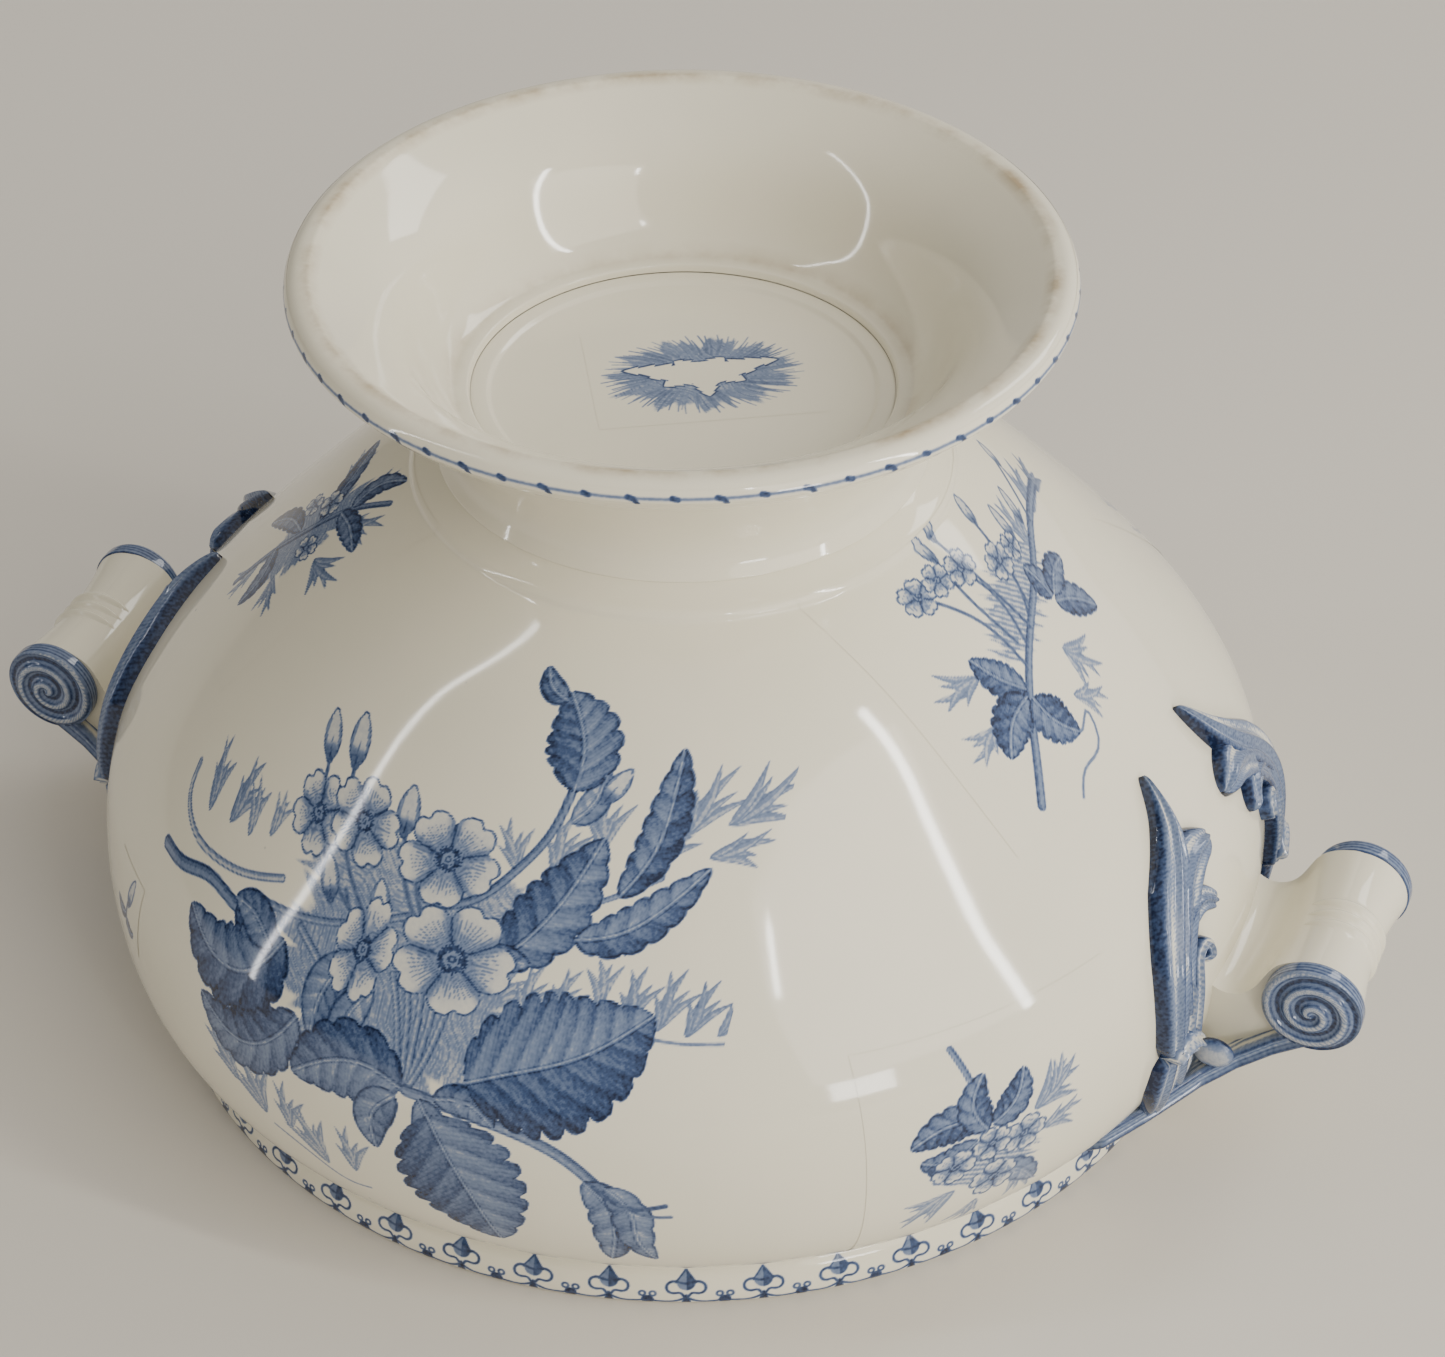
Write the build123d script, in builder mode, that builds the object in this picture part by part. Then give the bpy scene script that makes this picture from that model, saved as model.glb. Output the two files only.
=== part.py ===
from build123d import *
import os

# A footed serving bowl of glazed ware with two scroll handles, standing on its rim with
# its foot upwards. Millimetres, +Z up. The origin is the centre of the rim circle, on the
# surface that the rim stands on. The handles lie along +X and -X.

os.makedirs("parts", exist_ok=True)

# ---- Driving dimensions: the bowl ----
BOWL_RADIUS = 125.0          # widest part of the belly
BOWL_HEIGHT = 127.5          # rim to the edge of the collar ring
WALL = 5.2
BELLY_HEIGHT = 36.0          # height of the widest part over the rim
RIM_TUCK = 10.7              # how far the lip's outer edge lies inside the belly
LIP_HEIGHT = 9.5             # lip band, from rim to groove
LIP_THICKNESS = 5.4
LIP_FLARE = 1.9              # the groove lies this far inside the lip's edge
LIP_ROUND = 1.4
TURN_TUCK = 6.3              # the belly turns in to the groove here
TURN_RISE = 6.0
SHOULDER_TUCK = 3.1          # start of the long slope to the foot
SHOULDER_RISE = 21.5
COLLAR_RADIUS = 55.5         # low raised ring round the foot's seat

# ---- Driving dimensions: the base and the foot ----
SEAT_RADIUS = 50.4           # luted face between bowl and foot
COLLAR_HEIGHT = 5.4          # edge of the collar ring to the seat
BOSS_RADIUS = 43.0           # the bowl's base shows as the floor inside the foot
BOSS_HEIGHT = 11.5
FLOOR_RADIUS = 39.5
FLOOR_STEP = 0.8
BASE_THICKNESS = 6.5
FOOT_RADIUS = 78.3           # outer edge of the foot's flare
FOOT_HEIGHT = 42.1           # seat to standing ring
WAIST_TUCK = 2.0             # the waist lies this far inside the seat's edge
WAIST_RISE = 6.0
FOOT_LIP = 3.6               # rounding of the flare's edge
FOOT_WALL = 4.6
STANDING_RING = 1.6          # flat ring that carries the bowl in use
STEP_RING = 3.2              # second step round the floor
STEP_RISE = 1.6

# ---- Driving dimensions: the handles ----
ROLL_PROUD = 19.0            # roll's axis, outside the belly
ROLL_HEIGHT = 42.0
ROLL_SPAN = 37.0             # length between the scroll ends
ROLL_END_RADIUS = 10.0
ROLL_WAIST_RADIUS = 9.0
RIB_COUNT = 3                # turned ribs round the middle of the roll
RIB_PITCH = 3.4
RIB_RADIUS = 1.1
SCROLL_RADIUS = 11.2
SCROLL_THICKNESS = 3.5
SCROLL_BEVEL = 1.2
SCROLL_EYE_RADIUS = 3.2
SCROLL_EYE_PROUD = 0.8
RIBBON_THICKNESS = 5.6       # the ribbon rises from the rim to the roll
RIBBON_FOOT = 3.0            # lowest edge of the ribbon at the bowl
RIBBON_RISE = 16.5           # rise of the ribbon's underside to the belly
RIBBON_BEND_PROUD = 2.0      # that bend's place, outside the belly
RIBBON_SPREAD = 21.0         # extra half width where the ribbon meets the bowl
CREASE_HEIGHT = 42.0         # crease between the bowl and the hollow panel
PANEL_HOLLOW = 3.5
HOLLOW_PROUD = 3.5           # hollow's lowest line, outside the belly
LEAF_RELIEF = 3.6            # leaf arms stand this far off the bowl
LEAF_TIP_HEIGHT = 84.0
LEAF_SPREAD = 42.0           # outer edge of the leaf arms, from the handle's middle

# ---- Sizes worked out from these ----
RIM_RADIUS = BOWL_RADIUS - RIM_TUCK
GROOVE_RADIUS = RIM_RADIUS - LIP_FLARE
SHOULDER = (BOWL_RADIUS - SHOULDER_TUCK, BELLY_HEIGHT + SHOULDER_RISE)
SEAT_HEIGHT = BOWL_HEIGHT + COLLAR_HEIGHT
FLOOR_HEIGHT = SEAT_HEIGHT + BOSS_HEIGHT
STANDING_HEIGHT = SEAT_HEIGHT + FOOT_HEIGHT
ROLL_REACH = BOWL_RADIUS + ROLL_PROUD
SCROLL_PLACE = ROLL_SPAN / 2
LUG_HALF_WIDTH = SCROLL_PLACE + SCROLL_THICKNESS
WALL_STATIONS = 14


def slope_point(inward: float, upward: float) -> tuple:
    """A point of the long slope, as shares of its run from the shoulder to the collar."""
    run = SHOULDER[0] - COLLAR_RADIUS
    rise = BOWL_HEIGHT - SHOULDER[1]
    return (SHOULDER[0] - inward * run, SHOULDER[1] + upward * rise)


# ---- The outer line of the bowl, from the groove to the collar ring ----
with BuildLine() as belly_line:
    Spline(
        (GROOVE_RADIUS, LIP_HEIGHT),
        (BOWL_RADIUS - TURN_TUCK, LIP_HEIGHT + TURN_RISE),
        (BOWL_RADIUS, BELLY_HEIGHT),
        SHOULDER,
        slope_point(0.23, 0.32),
        slope_point(0.52, 0.62),
        slope_point(0.76, 0.84),
        (COLLAR_RADIUS, BOWL_HEIGHT),
    )


def belly_points(gap: float) -> list:
    """Stations along the belly, moved outwards by gap (inwards where it is negative)."""
    line = belly_line.wires()[0]
    points = []
    for station in range(WALL_STATIONS + 1):
        share = station / WALL_STATIONS
        place = line @ share
        along = line % share
        points.append((place.X + along.Y * gap, place.Y - along.X * gap))
    return points


# ---- The space round the bowl, which keeps the lugs outside it, and the leaves' skin ----
SPACE_RADIUS = 2 * BOWL_RADIUS
with BuildSketch() as space_outline:
    with BuildLine():
        Polyline(
            (GROOVE_RADIUS, LIP_HEIGHT), (RIM_RADIUS, LIP_ROUND), (RIM_RADIUS, 0),
            (SPACE_RADIUS, 0), (SPACE_RADIUS, BOWL_HEIGHT), (COLLAR_RADIUS, BOWL_HEIGHT),
        )
        Spline(*belly_points(0))
    make_face()
with BuildSketch() as skin_outline:
    skin_inside = belly_points(0)
    skin_outside = belly_points(LEAF_RELIEF)
    with BuildLine():
        Spline(*skin_inside)
        Line(skin_inside[-1], skin_outside[-1])
        Spline(*reversed(skin_outside))
        Line(skin_outside[0], skin_inside[0])
    make_face()

# ---- Bowl body: a shell of revolution with its base dished into the foot ----
with BuildPart() as bowl_body:
    with BuildSketch(Plane.XZ):
        outer = belly_points(0)
        inner = [point for point in belly_points(-WALL) if point[0] > BOSS_RADIUS + WALL]
        lip_inside = RIM_RADIUS - LIP_THICKNESS
        with BuildLine():
            Spline(*outer)
            Line(outer[-1], (SEAT_RADIUS, SEAT_HEIGHT))
            Line((SEAT_RADIUS, SEAT_HEIGHT), (BOSS_RADIUS, SEAT_HEIGHT))
            Line((BOSS_RADIUS, SEAT_HEIGHT), (BOSS_RADIUS, FLOOR_HEIGHT + FLOOR_STEP))
            Line((BOSS_RADIUS, FLOOR_HEIGHT + FLOOR_STEP), (FLOOR_RADIUS, FLOOR_HEIGHT + FLOOR_STEP))
            Line((FLOOR_RADIUS, FLOOR_HEIGHT + FLOOR_STEP), (FLOOR_RADIUS - FLOOR_STEP, FLOOR_HEIGHT))
            Line((FLOOR_RADIUS - FLOOR_STEP, FLOOR_HEIGHT), (0, FLOOR_HEIGHT))
            Line((0, FLOOR_HEIGHT), (0, FLOOR_HEIGHT - BASE_THICKNESS))
            Spline(
                (0, FLOOR_HEIGHT - BASE_THICKNESS),
                inner[-1],
                tangents=((1, 0), (inner[-2][0] - inner[-1][0], inner[-2][1] - inner[-1][1])),
            )
            Spline(*reversed(inner))
            Line(inner[0], (lip_inside, LIP_ROUND))
            Line((lip_inside, LIP_ROUND), (lip_inside + LIP_ROUND, 0))
            Line((lip_inside + LIP_ROUND, 0), (RIM_RADIUS - LIP_ROUND, 0))
            Line((RIM_RADIUS - LIP_ROUND, 0), (RIM_RADIUS, LIP_ROUND))
            Line((RIM_RADIUS, LIP_ROUND), outer[0])
        make_face()
    revolve(axis=Axis.Z)

# ---- Foot: a flared pedestal, luted round the boss and on the seat ----
with BuildPart() as foot_pedestal:
    with BuildSketch(Plane.XZ):
        lip_centre = (FOOT_RADIUS - FOOT_LIP, STANDING_HEIGHT - FOOT_LIP)
        ring_inside = (lip_centre[0] - STANDING_RING, STANDING_HEIGHT)
        waist = (SEAT_RADIUS - WAIST_TUCK, SEAT_HEIGHT + WAIST_RISE)
        flare_run = FOOT_RADIUS - waist[0]
        flare_rise = lip_centre[1] - waist[1]
        flare = (waist[0] + 0.42 * flare_run, waist[1] + 0.66 * flare_rise)
        step_top = FLOOR_HEIGHT + FLOOR_STEP + STEP_RISE
        shelf = (BOSS_RADIUS + STEP_RING, step_top)
        funnel_top = (ring_inside[0] - FOOT_LIP, STANDING_HEIGHT - FOOT_LIP * 0.6)
        funnel = (flare[0] - FOOT_WALL * 0.7, flare[1] + FOOT_WALL * 0.7)
        with BuildLine():
            Line((BOSS_RADIUS, SEAT_HEIGHT), (SEAT_RADIUS, SEAT_HEIGHT))
            Spline(
                (SEAT_RADIUS, SEAT_HEIGHT), waist, flare, (FOOT_RADIUS, lip_centre[1]),
                tangents=((-1, 1), (1, 1.2)),
            )
            CenterArc(lip_centre, FOOT_LIP, 0, 90)
            Line((lip_centre[0], STANDING_HEIGHT), ring_inside)
            Spline(ring_inside, funnel_top, funnel, shelf, tangents=((-1, 0), (-1, -0.5)))
            Line(shelf, (BOSS_RADIUS, step_top))
            Line((BOSS_RADIUS, step_top), (BOSS_RADIUS, SEAT_HEIGHT))
        make_face()
    revolve(axis=Axis.Z)


# ---- Handle, made on the +X side: x outwards and z up in its side plane ----
SIDE_PLANE = Plane(origin=(0, 0, 0), x_dir=(1, 0, 0), z_dir=(0, -1, 0))
FRONT_PLANE = Plane(origin=(0, 0, 0), x_dir=(0, 1, 0), z_dir=(1, 0, 0))
ROLL_PLANE = Plane(origin=(ROLL_REACH, 0, ROLL_HEIGHT), x_dir=(0, 1, 0), z_dir=(1, 0, 0))
HALF_TURN_PLANE = Plane(origin=(0, 0, 0), x_dir=(0, -1, 0), z_dir=(-1, 0, 0))
HANDS = {"front": -1, "back": 1}


# ---- Roll: waisted, with turned ribs round its middle, between the scroll ends ----
with BuildPart() as handle_roll:
    with BuildSketch(ROLL_PLANE):
        with BuildLine():
            Line((-SCROLL_PLACE, 0), (-SCROLL_PLACE, ROLL_END_RADIUS))
            Spline(
                (-SCROLL_PLACE, ROLL_END_RADIUS),
                (0, ROLL_WAIST_RADIUS),
                (SCROLL_PLACE, ROLL_END_RADIUS),
                tangents=((1, 0), (1, 0)),
            )
            Line((SCROLL_PLACE, ROLL_END_RADIUS), (SCROLL_PLACE, 0))
            Line((SCROLL_PLACE, 0), (-SCROLL_PLACE, 0))
        make_face()
        for rib in range(RIB_COUNT):
            with Locations(((rib - (RIB_COUNT - 1) / 2) * RIB_PITCH, ROLL_WAIST_RADIUS)):
                Circle(RIB_RADIUS)
    revolve(axis=Axis((ROLL_REACH, 0, ROLL_HEIGHT), (0, 1, 0)))


def make_scroll_end(hand: int) -> Part:
    """One scroll end of the roll: a bevelled disc with a raised eye on its outer face."""
    face = Plane(
        origin=(ROLL_REACH, hand * SCROLL_PLACE, ROLL_HEIGHT), x_dir=(1, 0, 0), z_dir=(0, hand, 0)
    )
    with BuildPart() as scroll_end:
        with BuildSketch(face):
            Circle(SCROLL_RADIUS)
        extrude(amount=SCROLL_THICKNESS)
        outer_face = scroll_end.faces().filter_by(Axis.Y).sort_by(Axis.Y)[-1 if hand > 0 else 0]
        chamfer(outer_face.edges(), SCROLL_BEVEL)
        with BuildSketch(face.offset(SCROLL_THICKNESS)):
            Circle(SCROLL_EYE_RADIUS)
        extrude(amount=SCROLL_EYE_PROUD)
    return scroll_end.part


scroll_ends = {name: make_scroll_end(hand) for name, hand in HANDS.items()}

# ---- Lug: the ribbon that rises from the rim to the roll, with a hollow panel behind it ----
ribbon_low = (RIM_RADIUS - LUG_HALF_WIDTH, RIBBON_FOOT)
ribbon_bend = (BOWL_RADIUS + RIBBON_BEND_PROUD, RIBBON_FOOT + RIBBON_RISE)
ribbon_end = (ROLL_REACH, ROLL_HEIGHT - ROLL_WAIST_RADIUS)
ribbon_line = (ribbon_low, ribbon_bend, ribbon_end)
ribbon_top = tuple((reach, height + RIBBON_THICKNESS) for reach, height in ribbon_line)
crease_root = (BOWL_RADIUS - 2 * WALL, CREASE_HEIGHT)
hollow = (BOWL_RADIUS + HOLLOW_PROUD, CREASE_HEIGHT - PANEL_HOLLOW)
root_half_width = LUG_HALF_WIDTH + RIBBON_SPREAD

with BuildPart() as handle_lug:
    with BuildSketch(SIDE_PLANE):
        with BuildLine():
            Spline(*ribbon_line)
            Line(ribbon_end, ribbon_top[-1])
            Spline(*reversed(ribbon_top))
            Line(ribbon_top[0], ribbon_low)
        make_face()
    extrude(amount=root_half_width, both=True)
    with BuildSketch():
        with BuildLine():
            for hand in HANDS.values():
                Spline(
                    (ROLL_REACH, hand * LUG_HALF_WIDTH),
                    (BOWL_RADIUS + WALL, hand * (LUG_HALF_WIDTH + 0.1 * RIBBON_SPREAD)),
                    (RIM_RADIUS + 0.7 * WALL, hand * (LUG_HALF_WIDTH + 0.6 * RIBBON_SPREAD)),
                    (ribbon_low[0], hand * root_half_width),
                )
            Line((ROLL_REACH, -LUG_HALF_WIDTH), (ROLL_REACH, LUG_HALF_WIDTH))
            Line((ribbon_low[0], -root_half_width), (ribbon_low[0], root_half_width))
        make_face()
    extrude(amount=STANDING_HEIGHT, mode=Mode.INTERSECT)
    with BuildSketch(SIDE_PLANE):
        with BuildLine():
            Spline(crease_root, hollow, (ROLL_REACH, ROLL_HEIGHT), tangents=((1, -0.3), (1, 0.6)))
            Polyline(
                (ROLL_REACH, ROLL_HEIGHT),
                (ROLL_REACH, ribbon_end[1] + RIBBON_THICKNESS / 2),
                (ribbon_bend[0], ribbon_bend[1] + RIBBON_THICKNESS / 2),
                (crease_root[0], ribbon_bend[1]),
                crease_root,
            )
        make_face()
    extrude(amount=SCROLL_PLACE, both=True)
    with BuildSketch(HALF_TURN_PLANE):
        add(space_outline.sketch)
    revolve(axis=Axis.Z, revolution_arc=180, mode=Mode.INTERSECT)
    add(handle_roll.part, mode=Mode.SUBTRACT)
    for scroll_end in scroll_ends.values():
        add(scroll_end, mode=Mode.SUBTRACT)

# ---- Leaf arms: acanthus sprigs in relief, from the ribbon up to their pointed tips ----
def make_leaf_arm(hand: int) -> Part:
    """One arm, outlined from the handle's front and cut from a skin that follows the bowl."""
    top = LEAF_TIP_HEIGHT
    foot = RIBBON_FOOT + RIBBON_RISE
    inside = LUG_HALF_WIDTH
    outside = LEAF_SPREAD
    outline = [
        (11.0, top), (19.0, top - 7), (outside - 13.5, top - 13), (outside - 4.5, top - 20),
        (outside, top - 30), (outside + 0.5, top - 42), (outside + 1.5, top - 54),
        (outside + 5, foot), (inside - 1, foot), (inside, top - 54),
        (inside + 4, top - 47), (inside + 7.5, top - 34),
        (inside + 0.5, top - 30), (inside + 1.5, top - 21.5),
        (13.5, top - 26), (12.0, top - 20), (7.0, top - 14.5), (10.0, top - 6),
    ]
    with BuildPart() as leaf_arm:
        with BuildSketch(FRONT_PLANE.offset(BOWL_RADIUS / 2)):
            with BuildLine():
                Polyline(*[(hand * across, height) for across, height in outline], close=True)
            make_face()
        extrude(amount=BOWL_RADIUS)
        with BuildSketch(HALF_TURN_PLANE):
            add(skin_outline.sketch)
        revolve(axis=Axis.Z, revolution_arc=180, mode=Mode.INTERSECT)
        add(handle_lug.part, mode=Mode.SUBTRACT)
    return leaf_arm.part


def mirrored(piece: Part) -> Part:
    """The same piece of the other handle, mirrored across the bowl's middle."""
    with BuildPart() as copy:
        mirror(piece, about=Plane.YZ)
    return copy.part


pieces = {"bowl_body": bowl_body.part, "foot_pedestal": foot_pedestal.part}
handle = {"handle_lug": handle_lug.part, "handle_roll": handle_roll.part}
for hand_name, hand in HANDS.items():
    handle[f"scroll_end_{hand_name}"] = scroll_ends[hand_name]
    handle[f"leaf_arm_{hand_name}"] = make_leaf_arm(hand)
for name, piece in handle.items():
    pieces[f"{name}_right"] = piece
    pieces[f"{name}_left"] = mirrored(piece)
for name, piece in pieces.items():
    piece.label = name
    export_step(piece, f"parts/{name}.step")
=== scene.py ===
"""Looks of a footed serving bowl in glazed earthenware with cobalt transfer prints."""
import logging
import math
from dataclasses import dataclass, field
from enum import Enum
from typing import Callable, Dict, List, Optional, Sequence, Tuple

import bpy
import numpy as np
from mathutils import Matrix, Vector


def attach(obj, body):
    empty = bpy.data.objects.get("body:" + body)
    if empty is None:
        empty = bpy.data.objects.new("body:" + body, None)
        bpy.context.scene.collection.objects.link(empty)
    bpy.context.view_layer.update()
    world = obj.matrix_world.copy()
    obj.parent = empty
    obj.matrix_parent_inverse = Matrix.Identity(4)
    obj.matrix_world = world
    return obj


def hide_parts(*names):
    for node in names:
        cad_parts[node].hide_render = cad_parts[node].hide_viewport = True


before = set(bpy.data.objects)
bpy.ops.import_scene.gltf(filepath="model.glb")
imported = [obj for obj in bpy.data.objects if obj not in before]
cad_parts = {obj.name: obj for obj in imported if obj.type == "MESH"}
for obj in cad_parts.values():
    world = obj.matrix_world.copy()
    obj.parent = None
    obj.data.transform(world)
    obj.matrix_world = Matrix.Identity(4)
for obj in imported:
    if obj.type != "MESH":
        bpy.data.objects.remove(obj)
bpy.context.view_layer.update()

LOG = logging.getLogger("serving_bowl")
MM = 0.001
ROOT_BODY = "root"
Point = Tuple[float, float]


# ---------------------------------------------------------------- curves and meshes

def spline(points: Sequence[Sequence[float]], count: int) -> np.ndarray:
    """Samples a smooth curve through a few points.

    Args:
        points: The points it passes through.
        count: How many samples to return, evenly spaced along its chords.

    Returns:
        An array of count points on a natural cubic spline.
    """
    knots = np.asarray(points, float)
    chord = walk(knots)
    size = len(knots)
    step = np.diff(chord)
    system = np.eye(size)
    right = np.zeros_like(knots)
    for i in range(1, size - 1):
        system[i, i - 1] = step[i - 1]
        system[i, i] = 2 * (step[i - 1] + step[i])
        system[i, i + 1] = step[i]
        right[i] = 6 * ((knots[i + 1] - knots[i]) / step[i] - (knots[i] - knots[i - 1]) / step[i - 1])
    bend = np.linalg.solve(system, right)
    where = np.linspace(0, chord[-1], count)
    span = np.clip(np.searchsorted(chord, where, side="right") - 1, 0, size - 2)
    width = step[span][:, None]
    low = (chord[span + 1] - where)[:, None]
    high = (where - chord[span])[:, None]
    return (
        bend[span] * low ** 3 / (6 * width)
        + bend[span + 1] * high ** 3 / (6 * width)
        + (knots[span] / width - bend[span] * width / 6) * low
        + (knots[span + 1] / width - bend[span + 1] * width / 6) * high
    )


def arc(centre: Point, radius: float, start: float, end: float, count: int = 9) -> np.ndarray:
    """Points of a round stretch, from start to end in degrees about its centre."""
    turn = np.radians(np.linspace(start, end, count))
    return np.stack([centre[0] + radius * np.cos(turn), centre[1] + radius * np.sin(turn)], -1)


def smooth_step(value: np.ndarray) -> np.ndarray:
    """Eases 0 to 1 with level ends."""
    value = np.clip(value, 0, 1)
    return value * value * (3 - 2 * value)


def comb(value: np.ndarray) -> np.ndarray:
    """How far a value lies from the middle of its whole step: small on evenly spaced lines."""
    return np.abs(value % 1.0 - 0.5)


def bell(value: np.ndarray) -> np.ndarray:
    """A soft bump that is 1 at 0 and falls away on both sides."""
    return np.exp(-value ** 2)


def walk(points: np.ndarray) -> np.ndarray:
    """The distance walked along a line at each of its points."""
    return np.concatenate([[0.0], np.cumsum(np.linalg.norm(np.diff(points, axis=0), axis=1))])


def headings(line: np.ndarray, *run: np.ndarray) -> np.ndarray:
    """The unit direction of a line at each of its points."""
    along = np.gradient(line, *run, axis=0)
    return along / np.linalg.norm(along, axis=1)[:, None]


def about_z(radius: np.ndarray, azimuth: np.ndarray, height: np.ndarray) -> np.ndarray:
    """Places by their radius, their azimuth in radians and their height."""
    radius, azimuth, height = np.broadcast_arrays(radius, azimuth, height)
    return np.stack([radius * np.cos(azimuth), radius * np.sin(azimuth), height], -1)


def each(draw: Callable[..., None], rows: Sequence[tuple]) -> None:
    """Calls one drawing method with each row of settings."""
    for row in rows:
        draw(*row)


@dataclass
class Sheet:
    """A grid of places in millimetres, with values that the finish reads.

    Args:
        places: Array of rows, columns and xyz.
        wrap: Whether the last column joins the first.
        floats: Named values, one per place.
    """

    places: np.ndarray
    wrap: bool = False
    floats: Dict[str, np.ndarray] = field(default_factory=dict)

    def flipped(self, axis: int) -> "Sheet":
        """The mirror image across the middle of one axis, with its faces still outwards."""
        sign = np.ones(3)
        sign[axis] = -1
        return Sheet(
            (self.places * sign)[:, ::-1], self.wrap, {k: v[:, ::-1] for k, v in self.floats.items()}
        )


def build(name: str, sheets: Sequence[Sheet], sharp: float = 40.0) -> bpy.types.Object:
    """Makes one smooth mesh from sheets.

    Args:
        name: The piece's name.
        sheets: Its sheets.
        sharp: Edges that turn by more than this many degrees stay crisp.

    Returns:
        The new object, linked to the scene.
    """
    corners, faces, maps, values, count = [], [], [], {}, 0
    labels = sorted({label for sheet in sheets for label in sheet.floats})
    for sheet in sheets:
        rows, columns = sheet.places.shape[:2]
        index = np.arange(rows * columns).reshape(rows, columns)
        if sheet.wrap:
            index = np.concatenate([index, index[:, :1]], axis=1)
        u, v = np.meshgrid(np.linspace(0, 1, index.shape[1]), np.linspace(0, 1, rows))
        around = lambda grid: np.stack([grid[:-1, :-1], grid[:-1, 1:], grid[1:, 1:], grid[1:, :-1]], -1)
        faces.append(around(index).reshape(-1, 4) + count)
        maps.append(np.stack([around(u), around(v)], -1).reshape(-1, 2))
        corners.append(sheet.places.reshape(-1, 3))
        for label in labels:
            layer = sheet.floats.get(label, np.zeros((rows, columns)))
            values.setdefault(label, []).append(layer.ravel())
        count += rows * columns
    quads = np.concatenate(faces)
    mesh = bpy.data.meshes.new(name)
    mesh.vertices.add(count)
    mesh.vertices.foreach_set("co", (np.concatenate(corners) * MM).ravel())
    mesh.loops.add(quads.size)
    mesh.loops.foreach_set("vertex_index", quads.ravel())
    mesh.polygons.add(len(quads))
    mesh.polygons.foreach_set("loop_start", np.arange(0, quads.size, 4))
    mesh.polygons.foreach_set("use_smooth", np.ones(len(quads), bool))
    mesh.update(calc_edges=True)
    if len(sheets) == 1:
        mesh.uv_layers.new(name="OFBake").data.foreach_set("uv", maps[0].ravel())
    for label in labels:
        attribute = mesh.attributes.new(label, "FLOAT", "POINT")
        attribute.data.foreach_set("value", np.concatenate(values[label]).astype(np.float32))
    mesh.set_sharp_from_angle(angle=math.radians(sharp))
    mesh.validate()
    thing = bpy.data.objects.new(name, mesh)
    bpy.context.scene.collection.objects.link(thing)
    return thing


def soften(points: Sequence[Point], blur: float = 0.5, turn: float = 7.0, longest: float = 2.6) -> np.ndarray:
    """Rounds a profile's corners and keeps only the points that its bends need.

    Args:
        points: The profile, corner by corner.
        blur: How far each corner's rounding reaches, in millimetres.
        turn: The largest change of direction between kept points, in degrees.
        longest: The longest gap between kept points, in millimetres.

    Returns:
        The points to turn.
    """
    corners = np.asarray(points, float)
    walked = walk(corners)
    fine = 0.15
    where = np.linspace(0, walked[-1], int(walked[-1] / fine) + 2)
    dense = np.stack([np.interp(where, walked, corners[:, i]) for i in (0, 1)], -1)
    reach = int(3 * blur / fine)
    weight = np.exp(-0.5 * (np.arange(-reach, reach + 1) * fine / blur) ** 2)
    weight /= weight.sum()
    ends = (2 * dense[0] - dense[reach:0:-1], dense, 2 * dense[-1] - dense[-2:-reach - 2:-1])
    padded = np.concatenate(ends)
    dense = np.stack([np.convolve(padded[:, i], weight, "valid") for i in (0, 1)], -1)
    heading = np.unwrap(np.arctan2(*np.diff(dense, axis=0).T[::-1]))
    kept, last = [0], 0
    for i in range(1, len(heading)):
        bent = abs(heading[i] - heading[last]) > math.radians(turn)
        if bent or (i - last) * fine > longest:
            kept.append(i)
            last = i
    return dense[kept + [len(dense) - 1]]


def turned(profile: np.ndarray, segments: int) -> np.ndarray:
    """Places of a form turned about Z from a profile of (radius, height)."""
    angle = np.linspace(0, 2 * math.pi, segments, endpoint=False)
    return about_z(profile[:, 0][:, None], angle, profile[:, 1][:, None])


# ---------------------------------------------------------------- finishes

def linear(colour: str) -> Tuple[float, float, float, float]:
    """Turns an sRGB hex colour into linear RGBA."""
    channels = [int(colour[i:i + 2], 16) / 255 for i in (1, 3, 5)]
    return tuple(c / 12.92 if c <= 0.04045 else ((c + 0.055) / 1.055) ** 2.4 for c in channels) + (1.0,)


def add_node(
    tree: bpy.types.NodeTree,
    kind: str,
    settings: Optional[dict] = None,
    inputs: Optional[dict] = None,
) -> bpy.types.Node:
    """Adds a node with its settings and links.

    Args:
        tree: The node tree it goes into.
        kind: The node's type name.
        settings: Properties of the node itself.
        inputs: Values or output sockets for its inputs, by name or number.

    Returns:
        The new node.
    """
    node = tree.nodes.new(kind)
    for label, value in (settings or {}).items():
        setattr(node, label, value)
    for label, value in (inputs or {}).items():
        if isinstance(value, bpy.types.NodeSocket):
            tree.links.new(value, node.inputs[label])
        else:
            node.inputs[label].default_value = value
    return node


def blank(block: bpy.types.ID) -> bpy.types.NodeTree:
    """Turns on the nodes of a new material or world and empties its tree."""
    block.use_nodes = True
    block.node_tree.nodes.clear()
    return block.node_tree


def noise(
    tree: bpy.types.NodeTree, size_mm: float, detail: float, roughness: float = 0.5
) -> bpy.types.NodeSocket:
    """Adds soft noise in the object's own space, by the size of its patches."""
    place = add_node(tree, "ShaderNodeTexCoord").outputs["Object"]
    return add_node(tree, "ShaderNodeTexNoise", None, {
        "Vector": place, "Scale": 1 / (size_mm * MM), "Detail": detail, "Roughness": roughness,
    }).outputs["Fac"]


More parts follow.
